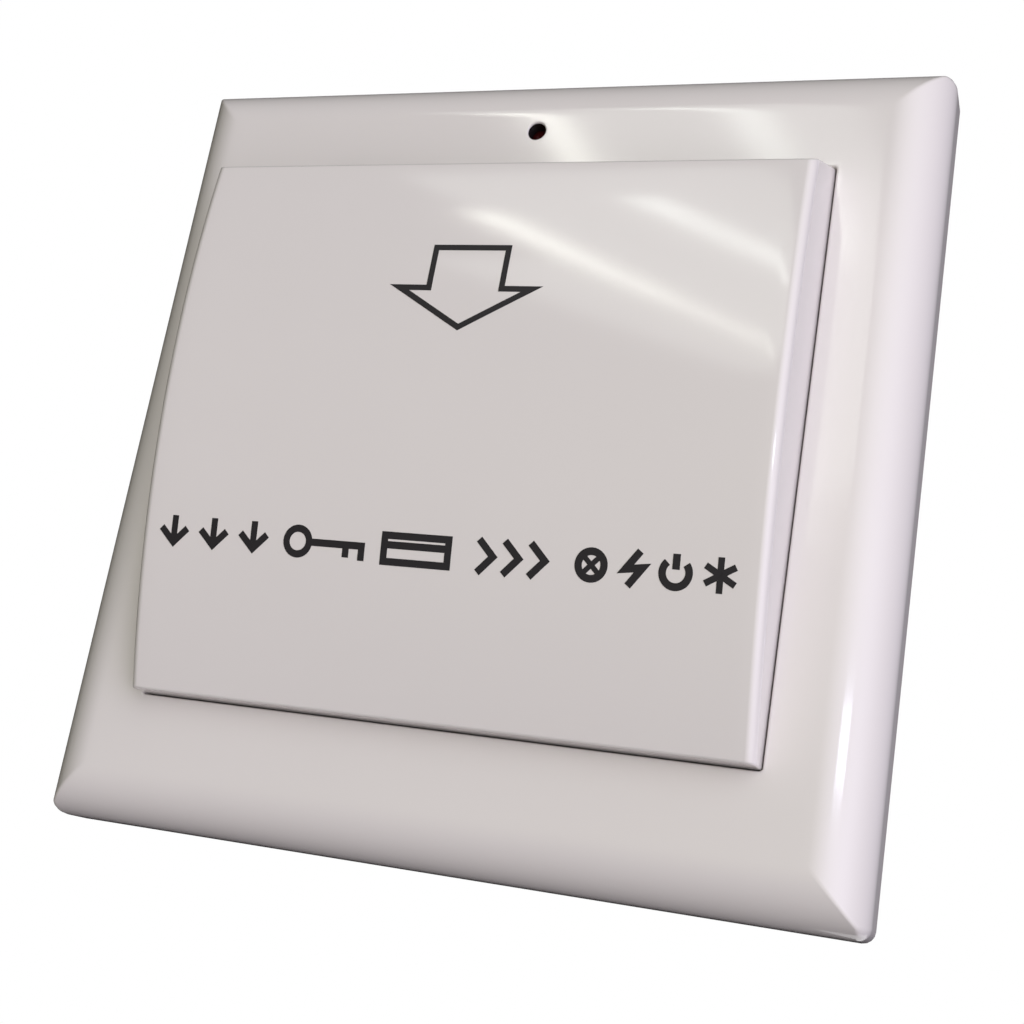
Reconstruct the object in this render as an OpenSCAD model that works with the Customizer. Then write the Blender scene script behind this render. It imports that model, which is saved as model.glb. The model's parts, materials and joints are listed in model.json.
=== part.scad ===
// Hotel key card switch for a square wall box. Millimetres, Z up, the front faces -Y, the wall is Y = 0.
// Modules are drawn lying on their back, with x to the right, y up and z out of the wall,
// and stand_up() turns them into place.

/* [Front plate] */
// Width and height of the square plate
plate_size = 86; // [84:0.5:94]
// Distance from the wall to the face of the plate
plate_height = 9; // [8.4:0.1:12]
// Wall thickness of the plate
plate_wall = 2.2; // [1.6:0.1:2.6]
// Radius of the rounded edge
plate_edge_r = 5.5; // [4:0.1:6.5]
// Radius of the corners, seen from the front
plate_corner_r = 1.2; // [0.6:0.1:3]
// Gap between the card cover and the window that it stands in
window_gap = 0.3; // [0.2:0.05:0.6]
// Thickness of the collar behind the window's edge
collar_t = 1.4; // [1:0.1:2]
// Diameter of the lamp hole
lamp_hole_d = 2; // [1.4:0.1:2.6]
// Distance from the plate's upper edge down to the lamp hole
lamp_drop = 7.6; // [7:0.1:9]
// Length of each snap bead inside the plate's rim
bead_l = 8; // [5:0.5:12]

/* [Card cover] */
// Distance from the plate's centre down to the cover's lower edge
cover_below = 29.7; // [28.5:0.1:31]
// Distance from the plate's upper edge down to the cover's upper end, at the plate's face
cover_drop = 12.5; // [12:0.1:14]
// How far the lip where the card goes in lies below that end, which leans back
lip_drop = 3.9; // [2:0.1:5]
// Wall thickness of the cover
cover_wall = 1.8; // [1.4:0.1:2.2]
// Height of the arched front above the plate's face, at its crest
cover_crest = 9.8; // [8.6:0.1:11]
// Height of the crest above the plate's centre
cover_crest_y = 11.5; // [8:0.5:14]
// Radius of the arched front
cover_arc_r = 127; // [115:1:170]
// Radius of the cover's long edges
cover_edge_r = 1; // [0.5:0.1:1.6]
// Width of each of the cover's snap tabs
tab_w = 6; // [4:0.5:8]

/* [Card and pocket] */
// Width of the key card
card_w = 54; // [50:0.1:55]
// Room beside the card, to each guide rail
card_play = 0.4; // [0.2:0.05:0.8]
// Distance from the plate's centre down to the stop that the card stands on
card_stop = 24; // [22:0.5:25]
// Thickness of the guide rails
rail_t = 1.2; // [0.8:0.1:1.4]
// Height of the guide rails
rail_h = 2.4; // [1.6:0.1:3.2]
// Room between each guide rail and the cover's side wall
rail_room = 2.1; // [1.2:0.1:2.6]
// How far the pocket's back wall lies behind the plate's face
floor_drop = 0.4; // [0.2:0.1:0.8]
// Thickness of the pocket's back wall
floor_t = 2; // [1.6:0.1:2.4]
// Thickness of the cradle's skirt
skirt_t = 1.6; // [1.2:0.1:2]

/* [Card lever] */
// Width of the lever
lever_w = 8; // [7:0.5:10]
// Distance from the plate's centre down to the lever's pin
pivot_below = 1; // [0:0.5:2]
// Distance from the pocket's back wall to the pin's axis
pivot_depth = 3; // [2.8:0.1:3.6]
// Diameter of the lever's pin
pin_d = 2; // [1.6:0.1:2.4]
// Radius of the lever's hub
hub_r = 2.1; // [1.9:0.1:2.5]
// How far the nose stands out of the pocket's back wall
nose_out = 2.4; // [1.8:0.1:2.7]
// Distance from the pin down to the middle of the nose
nose_arm = 15.2; // [14:0.1:16]
// Radius of the nose
nose_r = 1.2; // [0.8:0.1:1.6]
// Wire diameter of the return spring
spring_wire = 0.5; // [0.3:0.05:0.55]
// Distance from turn to turn of the return spring
spring_pitch = 1.05; // [1:0.05:1.2]
// Turns of the return spring
spring_turns = 2; // [1:1:2]

/* [Microswitch] */
// Length of the microswitch
switch_l = 19.8; // [18:0.1:21]
// Width of the microswitch
switch_w = 6.4; // [5.5:0.1:7]
// Height of the microswitch
switch_h = 10.2; // [9:0.1:11]
// Distance from the lever's pin to the plunger
plunger_arm = 8; // [7:0.1:9]
// Distance from the switch's lower end to the plunger
plunger_inset = 7.6; // [6:0.1:9]
// Diameter of the plunger
plunger_d = 2.4; // [1.8:0.1:2.8]
// How far the plunger stands out at rest
plunger_out = 1.8; // [1.7:0.1:2.4]

/* [Mounting frame] */
// Thickness of the frame
frame_t = 2.4; // [2:0.1:3]
// Room between the frame and the plate's inner wall
frame_room = 1.8; // [1.2:0.1:2.4]
// Distance between the two wall fixings
fixing_pitch = 60.3; // [60:0.1:60.6]
// Width of the fixing slots
slot_w = 4.4; // [3.6:0.1:5]
// Length of the fixing slots
slot_l = 8; // [6:0.1:9]
// Room for a wall screw's head
screw_head_d = 9.2; // [8:0.1:10]

/* [Rear housing] */
// Width of the housing
housing_w = 51; // [50:0.5:54]
// Height of the housing
housing_h = 54; // [53:0.5:57]
// Room between the relay and the housing's back wall
back_room = 2.2; // [1.6:0.1:6]
// Wall thickness of the housing
housing_wall = 1.8; // [1.4:0.1:2]
// Radius of the housing's back edges
housing_edge_r = 1.5; // [1:0.1:1.8]
// Number of vent slots in the back
vent_count = 7; // [3:1:9]
// Width of a vent slot
vent_w = 1.4; // [1:0.1:2]
// Thread diameter of the housing screws
housing_screw_d = 2.9; // [2.4:0.1:3]
// Head diameter of the housing screws
housing_head_d = 5.2; // [4.6:0.1:5.4]
// Length of the housing screws under the head
housing_screw_l = 9.4; // [8:0.1:9.6]

/* [Circuit board] */
// Thickness of the board
board_t = 1.6; // [1:0.1:2]
// Number of wire terminals
terminal_count = 3; // [2:1:3]
// Distance from terminal to terminal
terminal_pitch = 7.62; // [7:0.02:8]
// Height of the terminal block
block_h = 14; // [13:0.1:16]
// Depth of the terminal block, from its wire entries inwards
block_d = 10.4; // [10:0.1:11]
// Diameter of the wire holes in the brass cages
wire_d = 3; // [2.4:0.1:3.2]
// Diameter of the terminal screws
terminal_screw_d = 2.5; // [2:0.1:3]
// Height of the relay
relay_h = 15; // [13:0.1:15.6]

/* [Hidden] */
$fn = 64;
// Clearances of fitted pieces, of turning and sliding ones, of pressed ones, of drilled holes and of the rest
fit = 0.2;
run_fit = 0.05;
press_fit = 0.02;
drill_fit = 0.15;
part_gap = 0.3;
// How far a cutter reaches past what it cuts, and how deep a feature is rooted in the wall that carries it
over = 1;
root = 0.5;

// Levels, measured out of the wall
face_z = plate_height;
inner_z = face_z - plate_wall;
floor_z = face_z - floor_drop;
floor_back_z = floor_z - floor_t;
pivot_z = floor_back_z - pivot_depth;
pad_drop = 1.9;
pad_z = pivot_z - pad_drop;
pad_gap = 0.1;
switch_top_z = pad_z - pad_gap - plunger_out;
board_z = switch_top_z - switch_h;
board_back_z = board_z - board_t;
cover_foot_z = frame_t + part_gap;
collar_foot_z = frame_t + fit;
screw_head_h = 3.4;
head_room_z = frame_t + screw_head_h;

// The cover's outline, from the card outwards, and the plate's window round it
rail_x = card_w / 2 + card_play;
cover_x = rail_x + rail_t + rail_room + cover_wall;
cover_above = plate_size / 2 - cover_drop;
window_x = cover_x + window_gap;
window_bottom = -cover_below - window_gap;
window_top = cover_above + window_gap;
arc_z = face_z + cover_crest - cover_arc_r;
arc_depth = cover_crest + 2 * plate_height;
lip_y = cover_above - lip_drop;
lip_top_z = arc_z + sqrt(pow(cover_arc_r, 2) - pow(lip_y - cover_crest_y, 2));
arc_span = 60;
cover_inner_r = 0.4;
tab_y = 13;
tab_h = 1.6;
tab_rise = 0.9;
tab_depth = 1;
tab_z = cover_foot_z + tab_rise;

// The plate's ribs and snap beads
rib_x = 18;
rib_y = 14;
rib_t = 1.2;
bead_y = 20;
bead_z = 0.5;
bead_h = 0.8;
bead_bite = 0.5;
bead_room = 0.4;

// The cradle's outline, inside the cover
cradle_x = cover_x - cover_wall - fit;
cradle_bottom = -cover_below + cover_wall + fit;
cradle_top = cover_above;
rail_short = 4;
lead_in = 1.2;

// The housing, its screw towers and the frame in front of it
housing_depth = relay_h + back_room + housing_wall - board_back_z;
housing_corner_r = 2;
inside_x = housing_w / 2 - housing_wall;
inside_y = housing_h / 2 - housing_wall;
thread_bite = 0.5;
screw_core_d = housing_screw_d - thread_bite;
screw_hole_d = housing_screw_d + part_gap;
screw_web = 2.6;
well_room = 0.4;
well_r = housing_head_d / 2 + well_room;
tower_wall = 1.2;
tower_r = well_r + tower_wall;
tower_inset = 0.1;
tower_x = housing_w / 2 - tower_r - tower_inset;
tower_y = housing_h / 2 - tower_r - tower_inset;
boss_wall = 1.7;
boss_r = screw_core_d / 2 + boss_wall;
frame_size = plate_size - 2 * (plate_wall + frame_room);
frame_corner_r = 3;
frame_lip_t = 1.2;
frame_lip_h = 1.6;
frame_land = [2, 2.7];
opening_x = tower_x - frame_land[0];
opening_y = tower_y - frame_land[1];
lead_notch_x = 4;

// The board, its posts on the frame and its ledges in the housing
board_x = inside_x - part_gap;
board_y = inside_y - part_gap;
post_w = 2.6;
post_l = 3;
post_inset = 2.7;
post_drop = 2.5;
post_x = inside_x - post_inset;
post_y = tower_y - tower_r - post_drop;
ledge_w = 2;

// The lever, its pin and its spring
pivot_y = -pivot_below;
ear_t = 2;
ear_play = 0.8;
ear_x = lever_w / 2 + ear_play;
ear_r = hub_r + pad_gap;
hub_left = -ear_x + part_gap;
hub_right = 1;
arm_down = 1.2;
arm_up = 1.6;
arm_out = 2.4;
arm_low = pivot_z - arm_down;
arm_high = pivot_z + arm_up;
arm_start = pivot_y - arm_out;
heel_gap = 0.15;
nose_y = pivot_y - nose_arm;
nose_z = floor_z + nose_out - nose_r;
nose_room = 0.6;
nose_window_start = 8;
nose_window_end = 2.2;
nose_window_top = pivot_y - nose_window_start;
nose_window_bottom = nose_y - nose_r - nose_window_end;
plunger_y = pivot_y - plunger_arm;
switch_low = plunger_y - plunger_inset;
coil_play = 0.35;
coil_r = pin_d / 2 + coil_play + spring_wire / 2;
coil_x = hub_right + part_gap + spring_wire / 2;
coil_end_x = coil_x + spring_turns * spring_pitch;
leg_down = 5.5;
leg_up = 6;
peg_start = 4.2;
peg_l = 2;
peg_w = 1.6;

// The switch's three pins
switch_pin = [0.6, 1.6];
switch_pin_pitch = 5;
switch_pin_inset = 2.3;
switch_pin_y = [for (i = [0 : 2]) switch_low + switch_l - switch_pin_inset - i * switch_pin_pitch];

// The terminal block stands at the bottom of the board's back
block_side = 0.5;
block_front = 1.6;
block_room = 0.5;
block_w = terminal_count * terminal_pitch + 2 * block_side;
block_bottom = -inside_y + fit;
block_top = block_bottom + block_d;
block_back_z = board_back_z - block_h;
bay_wall = 1.5;
bay_top = block_top + block_room;
cage_w = 5.6;
cage_l = 7;
cage_front_t = 1.6;
cage_back_t = 2.4;
cage_y = block_bottom + block_front + cage_l / 2;
wire_depth = 5.7;
wire_z = board_back_z - wire_depth;
cage_back_z = wire_z - wire_d / 2 - cage_back_t;
cage_front_z = wire_z + wire_d / 2 + cage_front_t;
wire_entry_r = wire_d / 2 + 2 * fit;
wire_funnel = 0.7;
terminal_head_rim = 0.65;
terminal_head_r = terminal_screw_d / 2 + terminal_head_rim;
terminal_head_h = 2;
terminal_well_r = terminal_head_r + fit;
terminal_x = [for (i = [0 : terminal_count - 1]) (i - (terminal_count - 1) / 2) * terminal_pitch];

// Sizes and legs of the parts on the board
leg_d = 0.8;
leg_past = 1;
mould_edge_r = 0.6;
relay_size = [19, 15.2];
relay_legs = [[-7.1, -6], [-7.1, 6], [7.1, -6], [7.1, 6], [-5, 0]];
mains_size = [17.5, 8.2];
mains_h = 14;
mains_legs = [[-7.5, 0], [7.5, 0]];
smoothing_d = 8;
smoothing_h = 12;
smoothing_legs = [[-1.75, 0], [1.75, 0]];
timing_d = 6.3;
timing_h = 9;
timing_legs = [[-1.25, 0], [1.25, 0]];
varistor_d = 9;
varistor_t = 4;
varistor_legs = [[-3.75, 0], [3.75, 0]];
bridge_size = [8.5, 6.5];
bridge_h = 3.3;
bridge_legs = [[-2.55, -2.3], [-2.55, 2.3], [2.55, -2.3], [2.55, 2.3]];

// On the left of the board's back, from the terminals upwards: the rectifier and the relay
row_gap = 1.4;
relay_inset = 1.1;
left_x = -inside_x + relay_inset + relay_size[0] / 2;
bridge_at = [left_x, bay_top + bay_wall + row_gap + bridge_size[1] / 2];
relay_at = [left_x, bridge_at[1] + bridge_size[1] / 2 + row_gap + relay_size[1] / 2];

// On the right, from the top downwards: the mains capacitor and the two cans, and the varistor at the foot
mains_inset = 3.6;
timing_inset = 7.7;
varistor_inset = 9.7;
mains_at = [inside_x - mains_inset - mains_size[0] / 2, tower_y - tower_r - row_gap - mains_size[1] / 2];
can_y = mains_at[1] - mains_size[1] / 2 - row_gap - smoothing_d / 2;
timing_at = [inside_x - timing_inset, can_y];
smoothing_at = [timing_at[0] - (timing_d + smoothing_d) / 2 - row_gap, can_y];
varistor_at = [inside_x - varistor_inset, bay_top + bay_wall + row_gap + varistor_t / 2];

// On the board's front: the chip between the relay's legs, the transistor and the resistors
chip_at = relay_at + [1, 1.5];
transistor_inset = [6.7, 10.7];
transistor_at = [inside_x - transistor_inset[0], -board_y + transistor_inset[1]];
resistor_inset = 14.7;
resistor_step = [4, 3];
resistor_x = inside_x - resistor_inset;
resistor_y = can_y + 2 * resistor_step[1] / 3;
resistor_places = concat(
    [for (i = [0, 1], j = [0, 1]) [resistor_x + i * resistor_step[0], resistor_y + j * resistor_step[1]]],
    [for (i = [0, 1]) [left_x + i * resistor_step[0], transistor_at[1]]],
    [[resistor_x, transistor_at[1]]]);

// The lamp behind its hole, and its legs
lamp_hole_y = plate_size / 2 - lamp_drop;
lamp_r = 1.5;
lamp_play = 0.1;
lamp_l = 3.7;
lamp_skin = 1.6;
lamp_seat_z = face_z - lamp_skin;
lamp_center_z = lamp_seat_z - sqrt(pow(lamp_r, 2) - pow(lamp_hole_d / 2, 2)) - run_fit;
lamp_foot_z = lamp_center_z - lamp_l;
lamp_flange_h = 1;
lamp_flange_r = 1.9;
lamp_socket_wall = 1.2;
lamp_socket_r = lamp_r + lamp_socket_wall;
lamp_leg_d = 0.5;
lamp_leg_x = 1.27;
lamp_leg_y = 18.5;
lamp_leg_z = frame_t / 2;

// Turns a piece that was drawn lying on its back into its place on the wall
module stand_up() {
    rotate([90, 0, 0]) children();
}

// A box between two corners
module block(low, high) {
    translate(low) cube(high - low);
}

// Carries an outline, drawn in y and z, along x from one side to the other
module across(from, to) {
    translate([from, 0, 0]) rotate([90, 0, 90]) linear_extrude(to - from) children();
}

// The same shape on the right and, mirrored, on the left
module both_sides() {
    children();
    mirror([1, 0, 0]) children();
}

// Copies at the four corners of a rectangle
module at_corners(x, y) {
    for (i = [-1, 1], j = [-1, 1]) {
        translate([i * x, j * y, 0]) children();
    }
}

// A rectangle with round corners, centred
module round_rect(w, h, r) {
    square([w, h - 2 * r], center = true);
    square([w - 2 * r, h], center = true);
    for (x = [-1, 1], y = [-1, 1]) {
        translate([x * (w / 2 - r), y * (h / 2 - r)]) circle(r);
    }
}

// A slot with round ends, lying along x, centred
module slot(l, w) {
    square([l - w, w], center = true);
    for (i = [-1, 1]) {
        translate([i * (l - w) / 2, 0]) circle(d = w);
    }
}

// A slab on z = 0 whose front edges are rounded in both side views, so that its corners are mitred
module round_top_slab(w, l, h, r) {
    module side_view(width) {
        translate([-width / 2, 0]) square([width, h - r]);
        translate([-width / 2 + r, 0]) square([width - 2 * r, h]);
        for (i = [-1, 1]) {
            translate([i * (width / 2 - r), h - r]) circle(r);
        }
    }
    intersection() {
        translate([0, l / 2 + over, 0]) rotate([90, 0, 0]) linear_extrude(l + 2 * over) side_view(w);
        across(-w / 2 - over, w / 2 + over) side_view(l);
    }
}

// A ring sector about the axis of the arched front, with its long front edges rounded
module arched_block(w, r, edge_r) {
    module section() {
        translate([r - arc_depth, -w / 2]) square([arc_depth - edge_r, w]);
        translate([r - arc_depth, -w / 2 + edge_r]) square([arc_depth, w - 2 * edge_r]);
        for (i = [-1, 1]) {
            translate([r - edge_r, i * (w / 2 - edge_r)]) circle(edge_r);
        }
    }
    translate([0, cover_crest_y, arc_z]) rotate([0, -90, 0]) rotate([0, 0, -arc_span / 2]) {
        rotate_extrude(angle = arc_span, $fn = 256) section();
    }
}

// Room for the heads of the two wall screws
module wall_screw_room(top) {
    both_sides() translate([fixing_pitch / 2, 0, 0]) cylinder(h = top, d = screw_head_d);
}

// Ribs under the plate's face, from the window's collar to the rim
module plate_ribs() {
    rib_foot = frame_t + frame_lip_h + part_gap;
    rim = plate_size / 2;
    for (x = [-rib_x, rib_x]) {
        block([x - rib_t / 2, window_top, rib_foot], [x + rib_t / 2, rim, face_z]);
        block([x - rib_t / 2, -rim, rib_foot], [x + rib_t / 2, window_bottom, face_z]);
    }
    both_sides() for (y = [-rib_y, rib_y]) {
        block([window_x, y - rib_t / 2, rib_foot], [rim, y + rib_t / 2, face_z]);
    }
}

// Square plate with a rounded edge, a window with a collar, a lamp socket, ribs and snap beads
module front_plate() {
    inner = plate_size - 2 * plate_wall;
    middle = plate_size - plate_wall;
    socket_foot_z = lamp_foot_z + lamp_flange_h + lamp_play;
    color("whitesmoke") difference() {
        intersection() {
            union() {
                difference() {
                    round_top_slab(plate_size, plate_size, face_z, plate_edge_r);
                    translate([0, 0, -over]) {
                        round_top_slab(inner, inner, inner_z + over, plate_edge_r - plate_wall);
                    }
                }
                intersection() {
                    round_top_slab(middle, middle, face_z - plate_wall / 2, plate_edge_r - plate_wall / 2);
                    plate_ribs();
                }
                both_sides() for (y = [-bead_y, bead_y]) {
                    block([frame_size / 2 - bead_bite, y - bead_l / 2, bead_z],
                        [inner / 2 + root, y + bead_l / 2, bead_z + bead_h]);
                }
                block([-window_x - collar_t, window_bottom - collar_t, collar_foot_z],
                    [window_x + collar_t, window_top + collar_t, inner_z + root]);
                translate([0, lamp_hole_y, socket_foot_z]) {
                    cylinder(h = inner_z + root - socket_foot_z, r = lamp_socket_r);
                }
            }
            linear_extrude(face_z + over) round_rect(plate_size, plate_size, plate_corner_r);
        }
        block([-window_x, window_bottom, -over], [window_x, window_top, face_z + over]);
        translate([0, lamp_hole_y, 0]) {
            cylinder(h = face_z + over, d = lamp_hole_d);
            cylinder(h = lamp_seat_z, r = lamp_r + lamp_play);
        }
        wall_screw_room(head_room_z);
    }
}

// What is cut from the cover's upper end, so that it leans back from the plate's face to the lip
module lip_lean() {
    far_y = cover_above + over;
    far_z = face_z + 2 * (lip_top_z - face_z);
    across(-cover_x - over, cover_x + over) {
        polygon([[cover_above, face_z], [far_y, face_z], [far_y, far_z], [cover_above - 2 * lip_drop, far_z]]);
    }
}

// Slanted cut inside the cover's lip, which guides the card in
module lip_chamfer() {
    cut = cover_wall / 2;
    start_y = lip_y - cut;
    lip_z = arc_z + sqrt(pow(cover_arc_r - cover_wall, 2) - pow(lip_y - cover_crest_y, 2)) - cut / 2;
    across(-cover_x + cover_wall, cover_x - cover_wall) {
        polygon([[start_y, lip_z], [cover_above, lip_z], [cover_above, lip_z + (cover_above - start_y) / 2]]);
    }
}

// Arched shell over the card, open at the top and at the back, with four snap tabs
module card_cover() {
    top_z = face_z + 2 * cover_crest;
    tab_x = cover_x - cover_wall - tab_depth;
    color("whitesmoke") difference() {
        union() {
            difference() {
                intersection() {
                    arched_block(2 * cover_x, cover_arc_r, cover_edge_r);
                    block([-2 * cover_x, -cover_below, cover_foot_z], [2 * cover_x, cover_above, top_z]);
                }
                intersection() {
                    arched_block(2 * (cover_x - cover_wall), cover_arc_r - cover_wall, cover_inner_r);
                    block([-2 * cover_x, -cover_below + cover_wall, -over],
                        [2 * cover_x, cover_above + over, top_z]);
                }
            }
            both_sides() for (y = [-tab_y, tab_y]) {
                block([tab_x, y - tab_w / 2, tab_z],
                    [tab_x + tab_depth + root, y + tab_w / 2, tab_z + tab_h]);
            }
        }
        wall_screw_room(head_room_z);
        lip_lean();
        lip_chamfer();
    }
}

// Guide rails on both sides of the card and the stop under it, ending just below the cover
module card_guides() {
    intersection() {
        arched_block(2 * cover_x, cover_arc_r - cover_wall - part_gap, cover_inner_r);
        union() {
            both_sides() {
                block([rail_x, -card_stop - rail_t, floor_z - root],
                    [rail_x + rail_t, cradle_top - rail_short, floor_z + rail_h]);
            }
            block([-rail_x - root, -card_stop - rail_t, floor_z - root],
                [rail_x + root, -card_stop, floor_z + rail_h]);
        }
    }
}

// Ears for the lever's pin, and the peg that the spring's upper leg leans on
module lever_ears() {
    both_sides() across(ear_x, ear_x + ear_t) {
        translate([pivot_y, pivot_z]) circle(ear_r);
        translate([pivot_y - ear_r, pivot_z]) square([2 * ear_r, pivot_depth + root]);
    }
    block([coil_end_x - peg_w / 2, pivot_y + peg_start, pivot_z - coil_r + spring_wire / 2 + heel_gap],
        [coil_end_x + peg_w / 2, pivot_y + peg_start + peg_l, floor_back_z + root]);
}

// Back wall of the card pocket with its skirt, guide rails, stop, lever ears and screw bosses
module card_cradle() {
    color("gainsboro") difference() {
        union() {
            difference() {
                block([-cradle_x, cradle_bottom, frame_t], [cradle_x, cradle_top, floor_z]);
                block([-cradle_x + skirt_t, cradle_bottom + skirt_t, frame_t - over],
                    [cradle_x - skirt_t, cradle_top - skirt_t, floor_back_z]);
            }
            card_guides();
            lever_ears();
            at_corners(tower_x, tower_y) translate([0, 0, frame_t]) {
                cylinder(h = floor_back_z - frame_t + root, r = boss_r);
            }
        }
        block([-lever_w / 2 - nose_room, nose_window_bottom, floor_back_z - over],
            [lever_w / 2 + nose_room, nose_window_top, floor_z + over]);
        across(-cover_x, cover_x) translate([pivot_y, pivot_z]) circle(d = pin_d + 2 * press_fit);
        at_corners(tower_x, tower_y) translate([0, 0, -screw_web]) {
            cylinder(h = housing_screw_l + part_gap, d = screw_core_d + 2 * run_fit);
        }
        wall_screw_room(face_z + cover_crest);
        both_sides() for (y = [-tab_y, tab_y]) {
            block([cradle_x - tab_depth - fit, y - tab_w / 2 - part_gap, tab_z - part_gap],
                [cradle_x + over, y + tab_w / 2 + part_gap, tab_z + tab_h + part_gap]);
        }
        across(-cradle_x - over, cradle_x + over) {
            polygon([[cradle_top - lead_in, floor_z], [cradle_top - lead_in, floor_z + over],
                [cradle_top + over, floor_z + over], [cradle_top + over, floor_z - (lead_in + over) / 2]]);
        }
    }
}

// Flat frame with the wall fixings, a stiffening lip, the opening for the switch and four board posts
module mounting_frame() {
    lip_z = frame_t + frame_lip_h;
    inside_lip = frame_size - 2 * frame_lip_t;
    color("lightgray") difference() {
        union() {
            difference() {
                linear_extrude(lip_z) round_rect(frame_size, frame_size, frame_corner_r);
                translate([0, 0, frame_t]) linear_extrude(lip_z) {
                    round_rect(inside_lip, inside_lip, frame_corner_r - frame_lip_t);
                }
            }
            at_corners(post_x, post_y) {
                block([-post_w / 2, -post_l / 2, board_z], [post_w / 2, post_l / 2, root]);
            }
        }
        block([-opening_x, -opening_y, -over], [opening_x, opening_y, frame_t + over]);
        block([-lead_notch_x, 0, -over],
            [lead_notch_x, lamp_hole_y + lamp_socket_r + part_gap, lip_z + over]);
        both_sides() translate([fixing_pitch / 2, 0, -over]) {
            linear_extrude(frame_t + 2 * over) slot(slot_l, slot_w);
        }
        at_corners(tower_x, tower_y) translate([0, 0, -over]) {
            cylinder(h = frame_t + 2 * over, d = screw_hole_d);
        }
        both_sides() for (y = [-bead_y, bead_y]) {
            block([frame_size / 2 - bead_bite - bead_room, y - bead_l / 2 - bead_room, -over],
                [frame_size / 2 + over, y + bead_l / 2 + bead_room, bead_z + bead_h + part_gap]);
        }
    }
}

// Deep box in the wall, with screw towers, board ledges, a bay for the terminals and vents
module rear_housing() {
    back_z = -housing_depth;
    bay_x = block_w / 2 + block_room;
    bay_front_z = board_back_z - bay_wall;
    vent_l = 14;
    vent_y = 8;
    vent_step = 4;
    color("gainsboro") difference() {
        intersection() {
            mirror([0, 0, 1]) round_top_slab(housing_w, housing_h, housing_depth, housing_edge_r);
            translate([0, 0, back_z - over]) linear_extrude(housing_depth + over) {
                round_rect(housing_w, housing_h, housing_corner_r);
            }
            union() {
                difference() {
                    block([-housing_w, -housing_h, back_z - over], [housing_w, housing_h, over]);
                    block([-inside_x, -inside_y, back_z + housing_wall], [inside_x, inside_y, 2 * over]);
                }
                at_corners(tower_x, tower_y) translate([0, 0, back_z]) {
                    cylinder(h = housing_depth, r = tower_r);
                }
                both_sides() for (y = [-post_y, post_y]) {
                    block([inside_x - ledge_w, y - post_l / 2, back_z],
                        [inside_x + root, y + post_l / 2, board_back_z]);
                }
                block([-bay_x - bay_wall, -inside_y - root, back_z],
                    [bay_x + bay_wall, bay_top + bay_wall, board_back_z - fit]);
            }
        }
        block([-bay_x, -housing_h, back_z - over], [bay_x, bay_top, bay_front_z]);
        block([-bay_x, -inside_y, bay_front_z - over], [bay_x, bay_top, over]);
        at_corners(tower_x, tower_y) translate([0, 0, back_z - over]) {
            cylinder(h = housing_depth - screw_web + over, r = well_r);
            cylinder(h = housing_depth + 2 * over, d = screw_hole_d);
        }
        for (i = [0 : vent_count - 1]) {
            translate([(i - (vent_count - 1) / 2) * vent_step, vent_y, back_z - over]) rotate([0, 0, 90]) {
                linear_extrude(housing_wall + 2 * over) slot(vent_l, vent_w);
            }
        }
    }
}

// Four screws from the back, in the housing's wells, with a cross recess in each head
module housing_screws() {
    head_h = 2;
    recess_l = 3.1;
    recess_w = 0.8;
    recess_depth = 1;
    color("silver") at_corners(tower_x, tower_y) translate([0, 0, -screw_web]) {
        difference() {
            union() {
                cylinder(h = housing_screw_l, d = screw_core_d);
                translate([0, 0, -head_h]) cylinder(h = head_h, d = housing_head_d);
            }
            translate([0, 0, -head_h]) {
                cube([recess_l, recess_w, 2 * recess_depth], center = true);
                cube([recess_w, recess_l, 2 * recess_depth], center = true);
            }
        }
    }
}

// Where a line from a point touches a circle; turn is 1 or -1 for the side
function touch(p, c, r, turn) =
    let (d = c - p, l = norm(d), a = turn * asin(r / l), s = sqrt(l * l - r * r) / l)
    p + s * [d[0] * cos(a) - d[1] * sin(a), d[0] * sin(a) + d[1] * cos(a)];

// Moulded lever: a hub on the pin, an arm with a pad over the plunger, and a ramped nose in the pocket
module card_lever() {
    heel_z = floor_back_z - heel_gap;
    heel_start = arm_start - 1.4;
    ramp_foot = [nose_window_top - 1, floor_z - 0.8];
    web_z = pivot_z + 0.6;
    tail = [nose_y - nose_r - 0.8, web_z];
    shoulder_y = plunger_y - 2.2;
    shoulder_slope = 0.4;
    center = [nose_y, nose_z];
    pad_w = 2.4;
    color("ghostwhite") difference() {
        union() {
            across(hub_left, hub_right) translate([pivot_y, pivot_z]) circle(hub_r);
            across(-lever_w / 2, hub_right) {
                translate([arm_start - root, arm_low]) square([arm_out + root, arm_high - arm_low]);
            }
            across(-lever_w / 2, lever_w / 2) {
                polygon([[arm_start, arm_low], [arm_start, arm_high], [heel_start, heel_z],
                    [ramp_foot[0], heel_z], ramp_foot, touch(ramp_foot, center, nose_r, -1), center,
                    touch(tail, center, nose_r, 1), tail, [shoulder_y - shoulder_slope, web_z],
                    [shoulder_y, arm_low]]);
                translate(center) circle(nose_r);
            }
            across(-pad_w / 2, pad_w / 2) {
                translate([plunger_y - pad_w / 2, pad_z]) square([pad_w, arm_low - pad_z + root]);
            }
        }
        across(-lever_w, lever_w) translate([pivot_y, pivot_z]) circle(d = pin_d + 2 * run_fit);
    }
}

// Steel pin, held in the cradle's two ears
module lever_pin() {
    color("silver") across(-ear_x - ear_t, ear_x + ear_t) translate([pivot_y, pivot_z]) circle(d = pin_d);
}

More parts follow.
